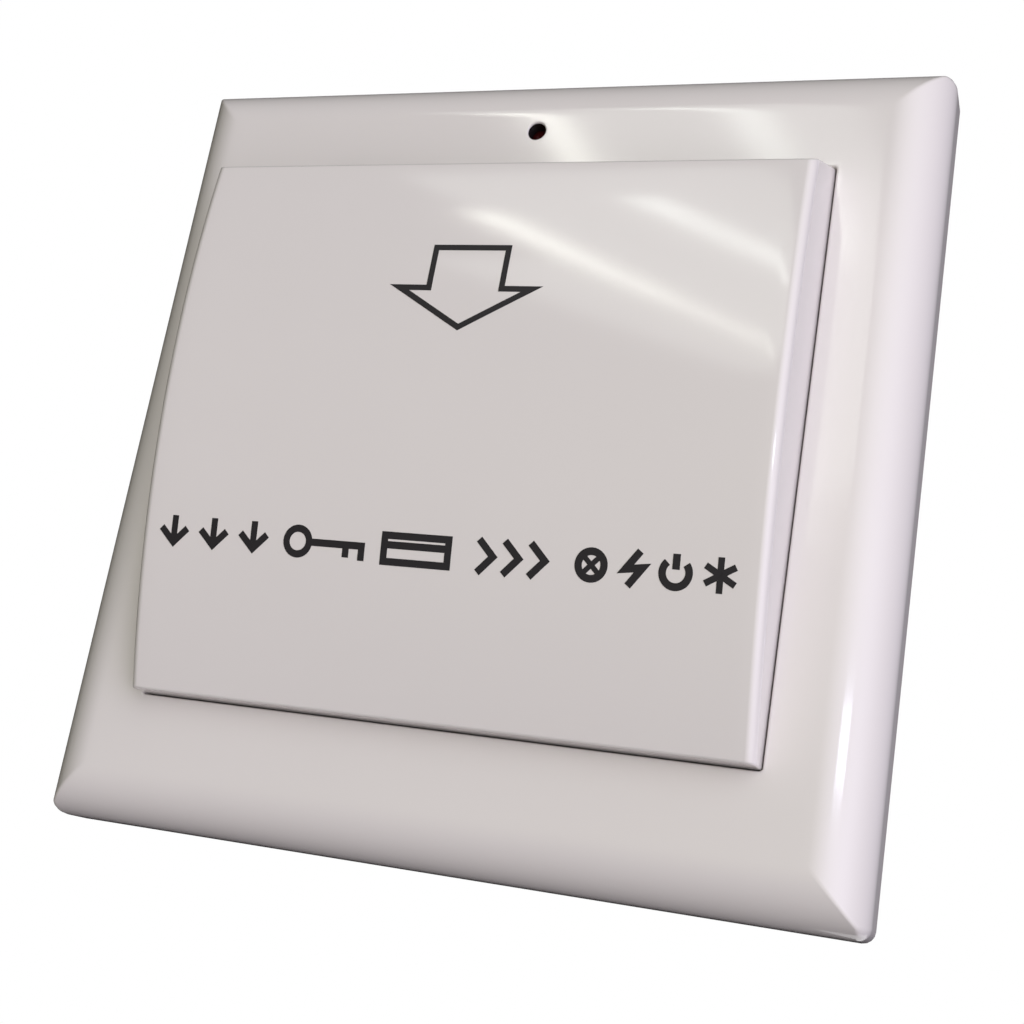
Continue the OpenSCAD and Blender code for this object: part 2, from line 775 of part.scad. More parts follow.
// Path of the spring's wire: a leg under the lever, the turns round the pin, and a leg to the cradle's peg
steps_per_turn = 8;
coil_steps = steps_per_turn * spring_turns;
coil_turns = [for (i = [0 : coil_steps]) i / steps_per_turn];
function coil_point(turn) = [
    coil_x + turn * spring_pitch,
    pivot_y + coil_r * sin(360 * turn),
    pivot_z - coil_r * cos(360 * turn)];
spring_path = concat(
    [[coil_x, pivot_y - leg_down, pivot_z - coil_r]],
    [for (turn = coil_turns) coil_point(turn)],
    [[coil_end_x, pivot_y + leg_up, pivot_z - coil_r]]);
spring_turn_at = concat([0], coil_turns, [spring_turns]);
spring_self_gap = min([for (a = coil_turns, b = coil_turns)
    if (b - a >= 0.75) norm(coil_point(b) - coil_point(a)) - spring_wire]);
echo(spring_self_gap = spring_self_gap);

// Torsion spring, one tube of six sides along the path
module lever_spring() {
    sides = 6;
    last = len(spring_path) - 1;
    points = [for (k = [0 : last], s = [0 : sides - 1])
        let (t = 360 * spring_turn_at[k], a = 360 * s / sides)
        spring_path[k] + spring_wire / 2 * [sin(a), cos(a) * sin(t), -cos(a) * cos(t)]];
    walls = [for (k = [0 : last - 1], s = [0 : sides - 1], half = [0, 1])
        let (a = k * sides + s, b = k * sides + (s + 1) % sides)
        half == 0 ? [a, b, b + sides] : [a, b + sides, a + sides]];
    caps = [for (s = [1 : sides - 2], end = [0, 1])
        end == 0 ? [0, s + 1, s] : [last * sides, last * sides + s, last * sides + s + 1]];
    color("silver") polyhedron(points, concat(walls, caps));
}

// Closed body of the snap-action switch, with two cross holes, sloped long edges and a bore for the plunger
module microswitch_case() {
    hole_pitch = 9.5;
    hole_d = 2.3;
    hole_rise = 2.9;
    bore_depth = 3.6;
    slope = 0.5;
    middle = switch_low + switch_l / 2;
    half = switch_w / 2;
    color("dimgray") difference() {
        translate([0, switch_low + switch_l, 0]) rotate([90, 0, 0]) linear_extrude(switch_l) {
            polygon([[-half, board_z], [half, board_z], [half, switch_top_z - slope],
                [half - slope, switch_top_z], [-half + slope, switch_top_z], [-half, switch_top_z - slope]]);
        }
        for (y = [middle - hole_pitch / 2, middle + hole_pitch / 2]) {
            across(-switch_w, switch_w) translate([y, board_z + hole_rise]) circle(d = hole_d);
        }
        translate([0, plunger_y, switch_top_z - bore_depth]) {
            cylinder(h = bore_depth + over, d = plunger_d + 2 * run_fit);
        }
    }
}

// Plunger with a round tip
module microswitch_plunger() {
    tip_r = plunger_d / 2;
    inside_l = 2;
    color("white") translate([0, plunger_y, switch_top_z]) {
        translate([0, 0, -inside_l]) cylinder(h = inside_l + plunger_out - tip_r, r = tip_r);
        translate([0, 0, plunger_out - tip_r]) sphere(tip_r);
    }
}

// Three flat pins from the switch through the board
module microswitch_terminals() {
    color("goldenrod") for (y = switch_pin_y) {
        translate([0, y, board_back_z - leg_past]) linear_extrude(board_t + leg_past) {
            square(switch_pin, center = true);
        }
    }
}

// Legs of a part on the board's back, through the board
module legs(at, places) {
    for (p = places) {
        translate([at[0] + p[0], at[1] + p[1], board_back_z - root]) {
            cylinder(h = root + board_t + leg_past, d = leg_d);
        }
    }
}

// Holes in the board for such legs
module leg_holes(at, places) {
    for (p = places) {
        translate([at[0] + p[0], at[1] + p[1], board_back_z - over]) {
            cylinder(h = board_t + 2 * over, d = leg_d + 2 * drill_fit);
        }
    }
}

// Board with its corners cut out round the screw towers, drilled for every leg
module circuit_board() {
    corner_x = tower_x - tower_r - part_gap;
    corner_y = tower_y - tower_r - part_gap;
    color("seagreen") difference() {
        block([-board_x, -board_y, board_back_z], [board_x, board_y, board_z]);
        both_sides() {
            block([corner_x, corner_y, board_back_z - over],
                [board_x + over, board_y + over, board_z + over]);
            block([corner_x, -board_y - over, board_back_z - over],
                [board_x + over, -corner_y, board_z + over]);
        }
        leg_holes(relay_at, relay_legs);
        leg_holes(mains_at, mains_legs);
        leg_holes(smoothing_at, smoothing_legs);
        leg_holes(timing_at, timing_legs);
        leg_holes(varistor_at, varistor_legs);
        leg_holes(bridge_at, bridge_legs);
        leg_holes([0, cage_y], [for (x = terminal_x) [x, 0]]);
        both_sides() translate([lamp_leg_x, lamp_leg_y, board_back_z - over]) {
            cylinder(h = board_t + 2 * over, d = lamp_leg_d + 2 * drill_fit);
        }
        for (y = switch_pin_y) {
            translate([0, y, board_back_z - over]) linear_extrude(board_t + 2 * over) {
                square(switch_pin + 2 * [drill_fit, drill_fit], center = true);
            }
        }
    }
}

// A moulded box on the board's back, with rounded edges, on its legs
module moulded_box(at, size, h, places) {
    translate([at[0], at[1], board_back_z]) mirror([0, 0, 1]) {
        round_top_slab(size[0], size[1], h, mould_edge_r);
    }
    legs(at, places);
}

// Relay in a sealed case
module relay() {
    color("royalblue") moulded_box(relay_at, relay_size, relay_h, relay_legs);
}

// Box film capacitor
module mains_capacitor() {
    color("gold") moulded_box(mains_at, mains_size, mains_h, mains_legs);
}

// Four-legged bridge rectifier
module bridge_rectifier() {
    color("black") moulded_box(bridge_at, bridge_size, bridge_h, bridge_legs);
}

// Electrolytic can with a crimped groove near its foot and a turned-in rim at its end, on its legs
module can(at, d, h, places) {
    groove = 0.35;
    groove_rise = 1.6;
    rim_t = 1.1;
    rim_groove_w = 0.5;
    rim_groove_depth = 0.4;
    translate([at[0], at[1], board_back_z]) mirror([0, 0, 1]) rotate_extrude() {
        difference() {
            square([d / 2, h]);
            translate([d / 2 + groove, groove_rise]) circle(2 * groove);
            translate([d / 2 - rim_t - rim_groove_w, h - rim_groove_depth]) square([rim_groove_w, over]);
        }
    }
    legs(at, places);
}

// Larger electrolytic can
module smoothing_capacitor() {
    color("midnightblue") can(smoothing_at, smoothing_d, smoothing_h, smoothing_legs);
}

// Smaller electrolytic can
module timing_capacitor() {
    color("midnightblue") can(timing_at, timing_d, timing_h, timing_legs);
}

// Disc varistor, standing on its two legs
module surge_varistor() {
    stand_off = 1;
    disc_z = board_back_z - stand_off - varistor_d / 2;
    rim_r = varistor_t / 2;
    color("steelblue") translate([varistor_at[0], varistor_at[1], disc_z]) {
        rotate([90, 0, 0]) rotate_extrude() {
            translate([0, -rim_r]) square([varistor_d / 2 - rim_r, varistor_t]);
            translate([varistor_d / 2 - rim_r, 0]) circle(rim_r);
        }
        for (p = varistor_legs) {
            translate([p[0], p[1], 0]) cylinder(h = board_z + leg_past - disc_z, d = leg_d);
        }
    }
}

// Small chip with gull-wing legs on the board's front
module timer_chip() {
    body = [4.9, 3.9, 1.4];
    stand_off = 0.1;
    pitch = 1.27;
    leg = [0.4, 1.1, 0.2];
    knee_h = 0.8;
    color("black") translate([chip_at[0], chip_at[1], board_z]) {
        translate([0, 0, stand_off + body[2] / 2]) cube(body, center = true);
        for (i = [0 : 3], s = [-1, 1]) {
            translate([(i - 1.5) * pitch, s * body[1] / 2, 0]) {
                translate([0, s * leg[1] / 2, leg[2] / 2]) cube(leg, center = true);
                translate([0, 0, knee_h / 2]) cube([leg[0], leg[0], knee_h], center = true);
            }
        }
    }
}

// Three-legged transistor on the board's front
module relay_transistor() {
    body = [2.9, 1.3, 1];
    stand_off = 0.1;
    leg = [0.4, 0.9, 0.2];
    leg_pitch = 0.95;
    leg_reach = 0.85;
    color("black") translate([transistor_at[0], transistor_at[1], board_z]) {
        translate([0, 0, stand_off + body[2] / 2]) cube(body, center = true);
        for (p = [[-leg_pitch, -leg_reach], [leg_pitch, -leg_reach], [0, leg_reach]]) {
            translate([p[0], p[1], leg[2] / 2]) cube(leg, center = true);
        }
    }
}

// Chip resistors with raised end caps on the board's front
module resistors() {
    size = [3.2, 1.6, 0.6];
    cap_l = 0.5;
    cap_rise = 0.05;
    color("black") for (p = resistor_places) {
        translate([p[0], p[1], board_z + size[2] / 2]) {
            cube([size[0] - cap_l, size[1], size[2] - 2 * cap_rise], center = true);
            both_sides() translate([(size[0] - cap_l) / 2, 0, 0]) {
                cube([cap_l, size[1], size[2]], center = true);
            }
        }
    }
}

// Round lamp with a flange, its dome against the plate's hole
module indicator_led() {
    color("darkred") translate([0, lamp_hole_y, 0]) {
        translate([0, 0, lamp_center_z]) sphere(lamp_r);
        translate([0, 0, lamp_foot_z]) cylinder(h = lamp_l, r = lamp_r);
        translate([0, 0, lamp_foot_z]) cylinder(h = lamp_flange_h, r = lamp_flange_r);
    }
}

// Round wire along points, with a ball at each bend
module wire(points, d) {
    for (i = [0 : len(points) - 2]) {
        run = points[i + 1] - points[i];
        l = norm(run);
        translate(points[i]) rotate([0, acos(run[2] / l), atan2(run[1], run[0])]) cylinder(h = l, d = d);
    }
    for (i = [1 : len(points) - 2]) {
        translate(points[i]) sphere(d = d);
    }
}

// The lamp's two legs, bent down behind the plate to the board
module led_leads() {
    color("silver") for (x = [-lamp_leg_x, lamp_leg_x]) {
        wire([[x, lamp_hole_y, lamp_foot_z], [x, lamp_hole_y, lamp_leg_z], [x, lamp_leg_y, lamp_leg_z],
            [x, lamp_leg_y, board_back_z - leg_past]], lamp_leg_d);
    }
}

// Moulded block with a pocket, a funnelled wire entry and a screw well for each terminal
module terminal_block() {
    groove = 0.5;
    color("darkslategray") difference() {
        block([-block_w / 2, block_bottom, block_back_z], [block_w / 2, block_top, board_back_z]);
        for (x = terminal_x) {
            block([x - cage_w / 2 - run_fit, cage_y - cage_l / 2 - run_fit, cage_back_z - run_fit],
                [x + cage_w / 2 + run_fit, cage_y + cage_l / 2 + run_fit, board_back_z + over]);
            translate([x, block_bottom - over, wire_z]) rotate([-90, 0, 0]) {
                cylinder(h = over + block_front + root, r = wire_entry_r);
                cylinder(h = over + wire_funnel, r1 = wire_entry_r + wire_funnel + over, r2 = wire_entry_r);
            }
            translate([x, cage_y, block_back_z - over]) cylinder(h = block_h, r = terminal_well_r);
        }
        for (i = [0 : terminal_count]) {
            translate([(i - terminal_count / 2) * terminal_pitch, block_bottom, block_back_z - over]) {
                linear_extrude(block_h + 2 * over) {
                    polygon([[-groove, -groove / 2], [groove, -groove / 2], [0, groove]]);
                }
            }
        }
    }
}

// Brass cages with a hole for the wire, a threaded hole for the screw and a pin to the board
module terminal_cages() {
    color("goldenrod") for (x = terminal_x) {
        difference() {
            union() {
                block([x - cage_w / 2, cage_y - cage_l / 2, cage_back_z],
                    [x + cage_w / 2, cage_y + cage_l / 2, cage_front_z]);
                translate([x, cage_y, cage_front_z - root]) {
                    cylinder(h = root + board_z + leg_past - cage_front_z, d = leg_d);
                }
            }
            translate([x, cage_y - cage_l, wire_z]) rotate([-90, 0, 0]) {
                cylinder(h = 2 * cage_l, d = wire_d);
            }
            translate([x, cage_y, cage_back_z - over]) {
                cylinder(h = wire_z - cage_back_z + over, d = terminal_screw_d + 2 * run_fit);
            }
        }
    }
}

// Slotted clamp screws, backed off so that the wire holes are clear
module terminal_screws() {
    backed_off = 1.4;
    tip_z = wire_z - wire_d / 2 - drill_fit;
    head_z = cage_back_z - backed_off;
    cut_w = 0.7;
    cut_depth = 0.8;
    color("silver") for (x = terminal_x) {
        translate([x, cage_y, 0]) difference() {
            union() {
                translate([0, 0, head_z]) cylinder(h = tip_z - head_z, d = terminal_screw_d);
                translate([0, 0, head_z - terminal_head_h]) {
                    cylinder(h = terminal_head_h, r = terminal_head_r);
                }
            }
            translate([0, 0, head_z - terminal_head_h]) {
                cube([4 * terminal_head_r, cut_w, 2 * cut_depth], center = true);
            }
        }
    }
}

stand_up() front_plate();
stand_up() card_cover();
stand_up() card_cradle();
stand_up() mounting_frame();
stand_up() rear_housing();
stand_up() housing_screws();
stand_up() card_lever();
stand_up() lever_pin();
stand_up() lever_spring();
stand_up() microswitch_case();
stand_up() microswitch_plunger();
stand_up() microswitch_terminals();
stand_up() circuit_board();
stand_up() relay();
stand_up() mains_capacitor();
stand_up() smoothing_capacitor();
stand_up() timing_capacitor();
stand_up() bridge_rectifier();
stand_up() surge_varistor();
stand_up() timer_chip();
stand_up() relay_transistor();
stand_up() resistors();
stand_up() indicator_led();
stand_up() led_leads();
stand_up() terminal_block();
stand_up() terminal_cages();
stand_up() terminal_screws();
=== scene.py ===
# %% [markdown]
# # A hotel key card switch
# This lesson dresses a square wall switch with an arched card pocket. The solids come from a CAD frame
# that is already in its place, so nothing here is moved or scaled to fit. The two glossy mouldings that
# a guest sees are rebuilt as smooth numpy surfaces, the print on the pocket is laid on as thin ink, and
# the pieces behind the plate keep their CAD shape and get a finish.

# %% Load the frame
import json
import math

import bmesh
import bpy
import numpy as np
from mathutils import Euler, Matrix, Vector


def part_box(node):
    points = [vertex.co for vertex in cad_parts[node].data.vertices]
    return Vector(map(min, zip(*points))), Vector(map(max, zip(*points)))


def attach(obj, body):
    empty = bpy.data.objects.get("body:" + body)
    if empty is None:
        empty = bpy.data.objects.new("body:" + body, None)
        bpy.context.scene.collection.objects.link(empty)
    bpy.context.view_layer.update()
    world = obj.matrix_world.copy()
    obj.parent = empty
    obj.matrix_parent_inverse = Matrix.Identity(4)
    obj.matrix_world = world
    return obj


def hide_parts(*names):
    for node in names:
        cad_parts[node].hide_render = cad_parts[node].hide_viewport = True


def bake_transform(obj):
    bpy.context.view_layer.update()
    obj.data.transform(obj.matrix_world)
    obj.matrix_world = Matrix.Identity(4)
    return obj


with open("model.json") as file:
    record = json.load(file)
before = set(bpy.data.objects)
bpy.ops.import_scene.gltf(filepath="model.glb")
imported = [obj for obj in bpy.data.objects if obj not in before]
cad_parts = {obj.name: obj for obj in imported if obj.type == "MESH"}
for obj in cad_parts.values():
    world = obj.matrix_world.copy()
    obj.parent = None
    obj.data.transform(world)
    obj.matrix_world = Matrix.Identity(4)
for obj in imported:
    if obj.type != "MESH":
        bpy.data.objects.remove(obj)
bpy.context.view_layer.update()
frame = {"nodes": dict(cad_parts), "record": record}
nodes = frame["nodes"]

# %% [markdown]
# ## Sizes
# Lengths below are millimetres, with x to the right, y up and z out of the wall, as a draughtsman would
# lay the plate on a table. `stand_up` turns such points into the frame, where the front faces -Y.
# What the frame already knows, such as the plate's width, is read from the nodes' boxes and not typed.

# %% Sizes in millimetres
MM = 0.001


def stand_up(points):
    """Local millimetres to frame metres: (x, y, z) becomes (x, -z, y), a thousandth as large."""
    points = np.asarray(points, dtype=float)
    return np.stack([points[..., 0], -points[..., 2], points[..., 1]], axis=-1) * MM


def lying_box(node):
    """A node's box as two local corners: the lowest x, y, z and the highest."""
    low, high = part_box(node)
    return np.array([low.x, low.z, -high.y]) / MM, np.array([high.x, high.z, -low.y]) / MM


plate_high = lying_box("front_plate")[1]
cover_low, cover_high = lying_box("card_cover")
plate_half, face_z = plate_high[0], plate_high[2]
cover_x, cover_bottom, cover_top = cover_high[0], cover_low[1], cover_high[1]
cover_foot, cover_crest = cover_low[2], cover_high[2]

plate_wall = 2.2
plate_edge_r = 5.5
plate_corner_r = 1.2
window_gap = 0.14
collar_wall = 1.4
collar_foot = 2.6
window_x = cover_x + window_gap
window_bottom = cover_bottom - window_gap
window_top = cover_top + window_gap

cover_wall = 1.8
cover_edge_r = 1.0
cover_arc_r = 127.0
cover_crest_y = 11.5
ink_top = 0.03
arc_z = cover_crest - ink_top - cover_arc_r
lip_drop = 3.9
lip_y = cover_top - lip_drop
print("plate", round(2 * plate_half, 2), "mm wide, its face at", round(face_z, 2))
print("cover", round(2 * cover_x, 2), "mm wide, its crest at", round(cover_crest, 2))

# %% [markdown]
# ## From arrays to meshes
# Every new surface is a grid of points worked out at once, so its faces follow from the grid's counts.
# A closed loop of points carried along a closed path is a ring like a picture frame, and the same loop
# carried along an open path is a bar with two end faces. Holes and ribs are then cut or added with
# Boolean steps, because a moulding tool is made that way too: one main form and many small inserts.

# %% Mesh helpers
SAME_PLACE = 1e-7
CREASE = 35


def grid_quads(rows, columns, close_rows=False):
    """Quads between neighbouring rows of a grid whose columns run round and close."""
    row = np.arange(rows if close_rows else rows - 1)[:, None]
    column = np.arange(columns)[None, :]
    next_row, next_column = (row + 1) % rows, (column + 1) % columns
    corners = [row * columns + column, next_row * columns + column,
               next_row * columns + next_column, row * columns + next_column]
    return np.stack(np.broadcast_arrays(*corners), axis=-1).reshape(-1, 4).tolist()


def new_piece(name, points, faces):
    """A mesh object at the origin with its place in its mesh, its faces turned outwards."""
    mesh = bpy.data.meshes.new(name)
    mesh.from_pydata(stand_up(points).reshape(-1, 3).tolist(), [], faces)
    shape = bmesh.new()
    shape.from_mesh(mesh)
    bmesh.ops.remove_doubles(shape, verts=shape.verts, dist=SAME_PLACE)
    bmesh.ops.recalc_face_normals(shape, faces=shape.faces)
    shape.to_mesh(mesh)
    shape.free()
    piece = bpy.data.objects.new(name, mesh)
    bpy.context.scene.collection.objects.link(piece)
    return piece


def bar(name, loops):
    """A solid from rows of closed loops, with a flat face at each end."""
    rows, columns = loops.shape[:2]
    ends = [list(range(columns)), list(range((rows - 1) * columns, rows * columns))]
    return new_piece(name, loops, grid_quads(rows, columns) + ends)


def block(low, high):
    """A box between two corners, as a bar of two square loops."""
    (x0, y0, z0), (x1, y1, z1) = low, high
    square = np.array([[x0, y0], [x1, y0], [x1, y1], [x0, y1]])
    return bar("block", np.stack([np.insert(square, 2, z, axis=1) for z in (z0, z1)]))


def turned(profile, centre, steps=64):
    """A turned solid: a profile of (radius, height) carried round an axis that stands on the centre."""
    radius, height = np.asarray(profile, dtype=float).T
    angle = np.linspace(0, 2 * np.pi, steps, endpoint=False)
    x = centre[0] + radius[:, None] * np.cos(angle)
    y = centre[1] + radius[:, None] * np.sin(angle)
    return bar("turned", np.stack([x, y, np.broadcast_to(height[:, None], x.shape)], axis=-1))


def change(piece, operation, tools):
    """Adds the tools to a piece, or cuts them from it, one Boolean step after another."""
    for tool in tools:
        step = piece.modifiers.new("step", "BOOLEAN")
        step.operation, step.solver, step.object = operation, "MANIFOLD", tool
        settled = piece.evaluated_get(bpy.context.evaluated_depsgraph_get())
        mesh = bpy.data.meshes.new_from_object(settled)
        piece.modifiers.clear()
        piece.data, old = mesh, piece.data
        mesh.name = piece.name
        for spent in (old, tool.data):
            bpy.data.meshes.remove(spent)


def quarter(start, end, steps=6):
    """Angles of a round stretch, in radians, from one angle in degrees to another."""
    return np.radians(np.linspace(start, end, steps + 1))


def smooth(piece, crease=CREASE):
    """Smooth shading that breaks where two faces meet at more than the crease, in degrees."""
    piece.data.shade_smooth()
    piece.data.set_sharp_from_angle(angle=math.radians(crease))


def settle(piece):
    """Smooth shading that breaks at creases, with normals led by the large faces."""
    smooth(piece)
    even = piece.modifiers.new("even_normals", "WEIGHTED_NORMAL")
    even.keep_sharp = True


def count(piece):
    """What a piece is made of, as words to print."""
    return f"{piece.name}: {len(piece.data.vertices)} points, {len(piece.data.polygons)} faces"


# %% [markdown]
# ## Camera
# The photo was taken from below and from the right, close to the plate. A camera with the same place, tilt
# and focal length comes first.

# %% Camera
IMAGE_WIDTH = 1024
FOCAL_PIXELS = 1556.8
SENSOR = 36.0
CAMERA_PLACE = (0.05945, -0.14836, -0.04733)
CAMERA_TURN = (105.151, -9.475, 18.893)

lens = bpy.data.cameras.new("camera")
lens.sensor_width = SENSOR
lens.lens = FOCAL_PIXELS / IMAGE_WIDTH * SENSOR
lens.clip_start = 0.001
camera = bpy.data.objects.new("camera", lens)
turn = Euler([math.radians(a) for a in CAMERA_TURN]).to_matrix().to_4x4()
camera.matrix_world = Matrix.Translation(CAMERA_PLACE) @ turn
bpy.context.scene.collection.objects.link(camera)
bpy.context.scene.camera = camera
print("camera: lens", round(lens.lens, 2), "mm")

# %% [markdown]
# ## The plate
# The real plate is one moulding: a flat face with a rounded edge on all four sides, whose corners are
# mitred like a picture frame, and a window for the pocket with a collar behind it. It could be a cube
# with bevels, but a bevel leaves the mitre to chance. Here a closed profile is carried round the plate
# as nested rounded rectangles: the ones near the window follow the window, the ones near the rim follow
# the rim, and the flat face lies between them.

# %% Rounded rectangles
def rounded_loops(half_x, low_y, high_y, radius, z, corner_steps=4, side_steps=24):
    """Rounded rectangles, one row each: four corner arcs, centre plus radius times (cos, sin), and sides
    that are cut into equal steps between one arc's end and the next arc's start."""
    half_x, low_y, high_y, radius, z = np.broadcast_arrays(half_x, low_y, high_y, radius, z)
    angle = np.arange(4)[:, None] * np.pi / 2 + quarter(0, 90, corner_steps)[None, :]
    centre_x = (half_x - radius)[:, None] * np.array([1, -1, -1, 1])
    centre_y = np.stack([high_y - radius, high_y - radius, low_y + radius, low_y + radius], axis=-1)
    round_x = centre_x[..., None] + radius[:, None, None] * np.cos(angle)
    round_y = centre_y[..., None] + radius[:, None, None] * np.sin(angle)
    arcs = np.stack([round_x, round_y], axis=-1)
    share = np.linspace(0, 1, side_steps + 1)[1:-1, None]
    sides = arcs[:, :, -1:] * (1 - share) + np.roll(arcs, -1, axis=1)[:, :, :1] * share
    plan = np.concatenate([arcs, sides], axis=2).reshape(len(z), -1, 2)
    height = np.broadcast_to(z[:, None, None], plan.shape[:2] + (1,))
    return np.concatenate([plan, height], axis=-1)


def window_loops(outset, z, corner_r=0.35):
    """Loops that follow the window, set out from its edge."""
    outset, z = np.broadcast_arrays(outset, np.asarray(z, dtype=float))
    low, high = window_bottom - outset, window_top + outset
    return rounded_loops(window_x + outset, low, high, corner_r + outset, z)


def rim_loops(half, z, crease_r=0.3):
    """Loops that follow the rim. Their corner radius shrinks with them, down to that of the mitre."""
    half, z = np.broadcast_arrays(half, np.asarray(z, dtype=float))
    radius = np.maximum(plate_corner_r - (plate_half - half), crease_r)
    return rounded_loops(half, -half, half, radius, z)


# %% Plate shell
edge = 0.25
flat_half = plate_half - plate_edge_r
inner_half = plate_half - plate_wall
inner_z = face_z - plate_wall
edge_z = face_z - plate_edge_r
inner_edge_r = plate_edge_r - plate_wall
rise, fall = quarter(0, 90), quarter(90, 0)
nose = quarter(0, 90, 24)

plate_rows = [
    window_loops(edge - edge * np.cos(rise), face_z - edge + edge * np.sin(rise)),
    window_loops(np.array([3 * edge]), face_z),
    rim_loops(np.array([flat_half - 2 * edge]), face_z),
    rim_loops(flat_half + plate_edge_r * np.sin(nose), edge_z + plate_edge_r * np.cos(nose)),
    rim_loops(plate_half - edge + edge * np.cos(rise), edge - edge * np.sin(rise)),
    rim_loops(inner_half + edge - edge * np.cos(fall), edge - edge * np.sin(fall)),
    rim_loops(flat_half + inner_edge_r * np.sin(nose[::-2]), edge_z + inner_edge_r * np.cos(nose[::-2])),
    window_loops(np.array([collar_wall, collar_wall]), [inner_z, collar_foot + edge]),
    window_loops(np.array([collar_wall - edge, edge]), collar_foot),
    window_loops(np.array([0.0]), collar_foot + edge),
]
shell = np.concatenate(plate_rows)
plate = new_piece("plate_shell", shell, grid_quads(*shell.shape[:2], close_rows=True))
print(count(plate))

# %% [markdown]
# The face has one small round hole for the lamp. Its edge is slightly rounded, so the cutter is turned
# with a trumpet mouth. Behind the face there are ribs, four snap beads that hold the plate on its frame,
# and a socket that centres the lamp. What is added goes a root deep into the wall, and what is cut away
# runs a little past it, because faces that only touch make a Boolean step guess.

# %% Lamp hole, ribs and snap beads
led_low, led_high = lying_box("indicator_led")
lamp_y = (led_low[1] + led_high[1]) / 2
lamp_hole_r = 1.0
lamp_bore_r = 1.6
lamp_seat = 7.4
lamp_mouth = 0.2
socket_r, socket_foot = 2.7, 3.63
screw_x, screw_head_r, screw_room = 30.15, 4.6, 5.8
rib_x, rib_y, rib_wall, rib_foot = 18.0, 14.0, 1.2, 4.3
bead_x, bead_y, bead_length = 38.5, 20.0, 8.0
bead_low, bead_high = 0.5, 1.3
root, past = 0.4, 1.0

mouth_r, mouth_z = lamp_hole_r + lamp_mouth, face_z - lamp_mouth
mouth = [(mouth_r - lamp_mouth * math.sin(a), mouth_z + lamp_mouth * math.cos(a)) for a in quarter(90, 0)]
hole = [(lamp_bore_r, 0.0), (lamp_bore_r, lamp_seat), (lamp_hole_r, lamp_seat)] + mouth
hole += [(mouth_r, face_z + past)]

ribs = []
for x in (-rib_x, rib_x):
    for y in (window_top + root, -inner_half - root):
        far = inner_half + root if y > 0 else window_bottom - root
        ribs.append(block((x - rib_wall / 2, y, rib_foot), (x + rib_wall / 2, far, inner_z + root)))
for side in (-1, 1):
    near, far = sorted((side * (window_x + root), side * (inner_half + root)))
    for y in (-rib_y, rib_y):
        ribs.append(block((near, y - rib_wall / 2, rib_foot), (far, y + rib_wall / 2, inner_z + root)))
beads = []
for side in (-1, 1):
    near, far = sorted((side * bead_x, side * (inner_half + root)))
    for y in (-bead_y, bead_y):
        low = (near, y - bead_length / 2, bead_low)
        beads.append(block(low, (far, y + bead_length / 2, bead_high)))


def screw_rooms():
    """Room for the heads of the two wall screws: a short cylinder on each side."""
    profile = [(screw_head_r, -past), (screw_head_r, screw_room)]
    return [turned(profile, (side * screw_x, 0.0)) for side in (-1, 1)]


socket = turned([(socket_r, socket_foot), (socket_r, inner_z + root)], (0.0, lamp_y))
change(plate, "UNION", ribs + beads + [socket])
change(plate, "DIFFERENCE", [turned(hole, (0.0, lamp_y))] + screw_rooms())
settle(plate)
print(count(plate))

# %% [markdown]
# ## The card cover
# The pocket's front is an arched shell: its long edges are rounded, its ends are nearly sharp, and its
# upper end, where the card goes in, is open and leans back. Seen along the plate the front is a circle's
# arc, so each point's height follows from its distance y along the plate. The same function makes the
# outside and, a wall smaller, the hollow that is cut from it.

# %% Arched shell
def arc_height(y, inset=0.0):
    """Height of the arched front above the wall at a distance y up the plate: a circle about a far axis."""
    return arc_z + np.sqrt((cover_arc_r - inset) ** 2 - (y - cover_crest_y) ** 2)


def loaf(name, half_x, inset, low_y, high_y, foot, edge_r, end_r, lean=0.0, rows=72, top_points=48):
    """An arched loaf. Each row is a closed section: up the left wall, round the edge, across the top and
    down the right wall. Towards both ends the section shrinks along a quarter circle. A lean pulls each
    point down the plate by that share of its height above the face, fully at the upper end and ever less
    below it, so heights on the arch are found in a few rounds: height gives y, and y gives height."""
    bow = quarter(0, 90)
    y = np.concatenate([low_y + end_r * (1 - np.cos(bow)),
                        np.linspace(low_y + end_r, high_y - end_r, rows)[1:-1],
                        high_y - end_r * (1 - np.cos(bow[::-1]))])[:, None]
    ease = end_r * (1 - np.sin(bow))
    shrink = np.concatenate([ease, np.zeros(rows - 2), ease[::-1]])[:, None]
    pull = lean * (y - low_y) / (high_y - low_y)
    half, radius = half_x - shrink, edge_r - shrink

    def on_arch(depth, rounds=4):
        """Heights at a depth under the arch, for points that lean as they rise."""
        z = arc_height(y, depth)
        for _ in range(rounds):
            z = arc_height(y - pull * (z - face_z), depth)
        return z

    wall_top = on_arch(inset + shrink + radius)
    wall = np.hstack([foot + 0 * y, face_z + 0 * y, (face_z + wall_top) / 2])
    round_x = half - radius + radius * np.cos(bow)
    round_z = on_arch(inset + shrink + radius - radius * np.sin(bow))
    top_x = (half - radius) * np.linspace(-1, 1, top_points + 2)[1:-1]
    top_z = on_arch(inset + shrink) + 0 * top_x
    x = np.hstack([-half + 0 * wall, -round_x, top_x, round_x[:, ::-1], half + 0 * wall])
    z = np.hstack([wall, round_z, top_z, round_z[:, ::-1], wall[:, ::-1]])
    loops = np.stack([x, y - pull * np.maximum(z - face_z, 0), z], axis=-1)
    row_count, columns = x.shape
    i = np.arange(columns // 2 - 1)
    strips = np.stack([i, i + 1, columns - 2 - i, columns - 1 - i], axis=-1)
    ends = np.concatenate([strips, strips + (row_count - 1) * columns]).tolist()
    return new_piece(name, loops, grid_quads(row_count, columns) + ends)


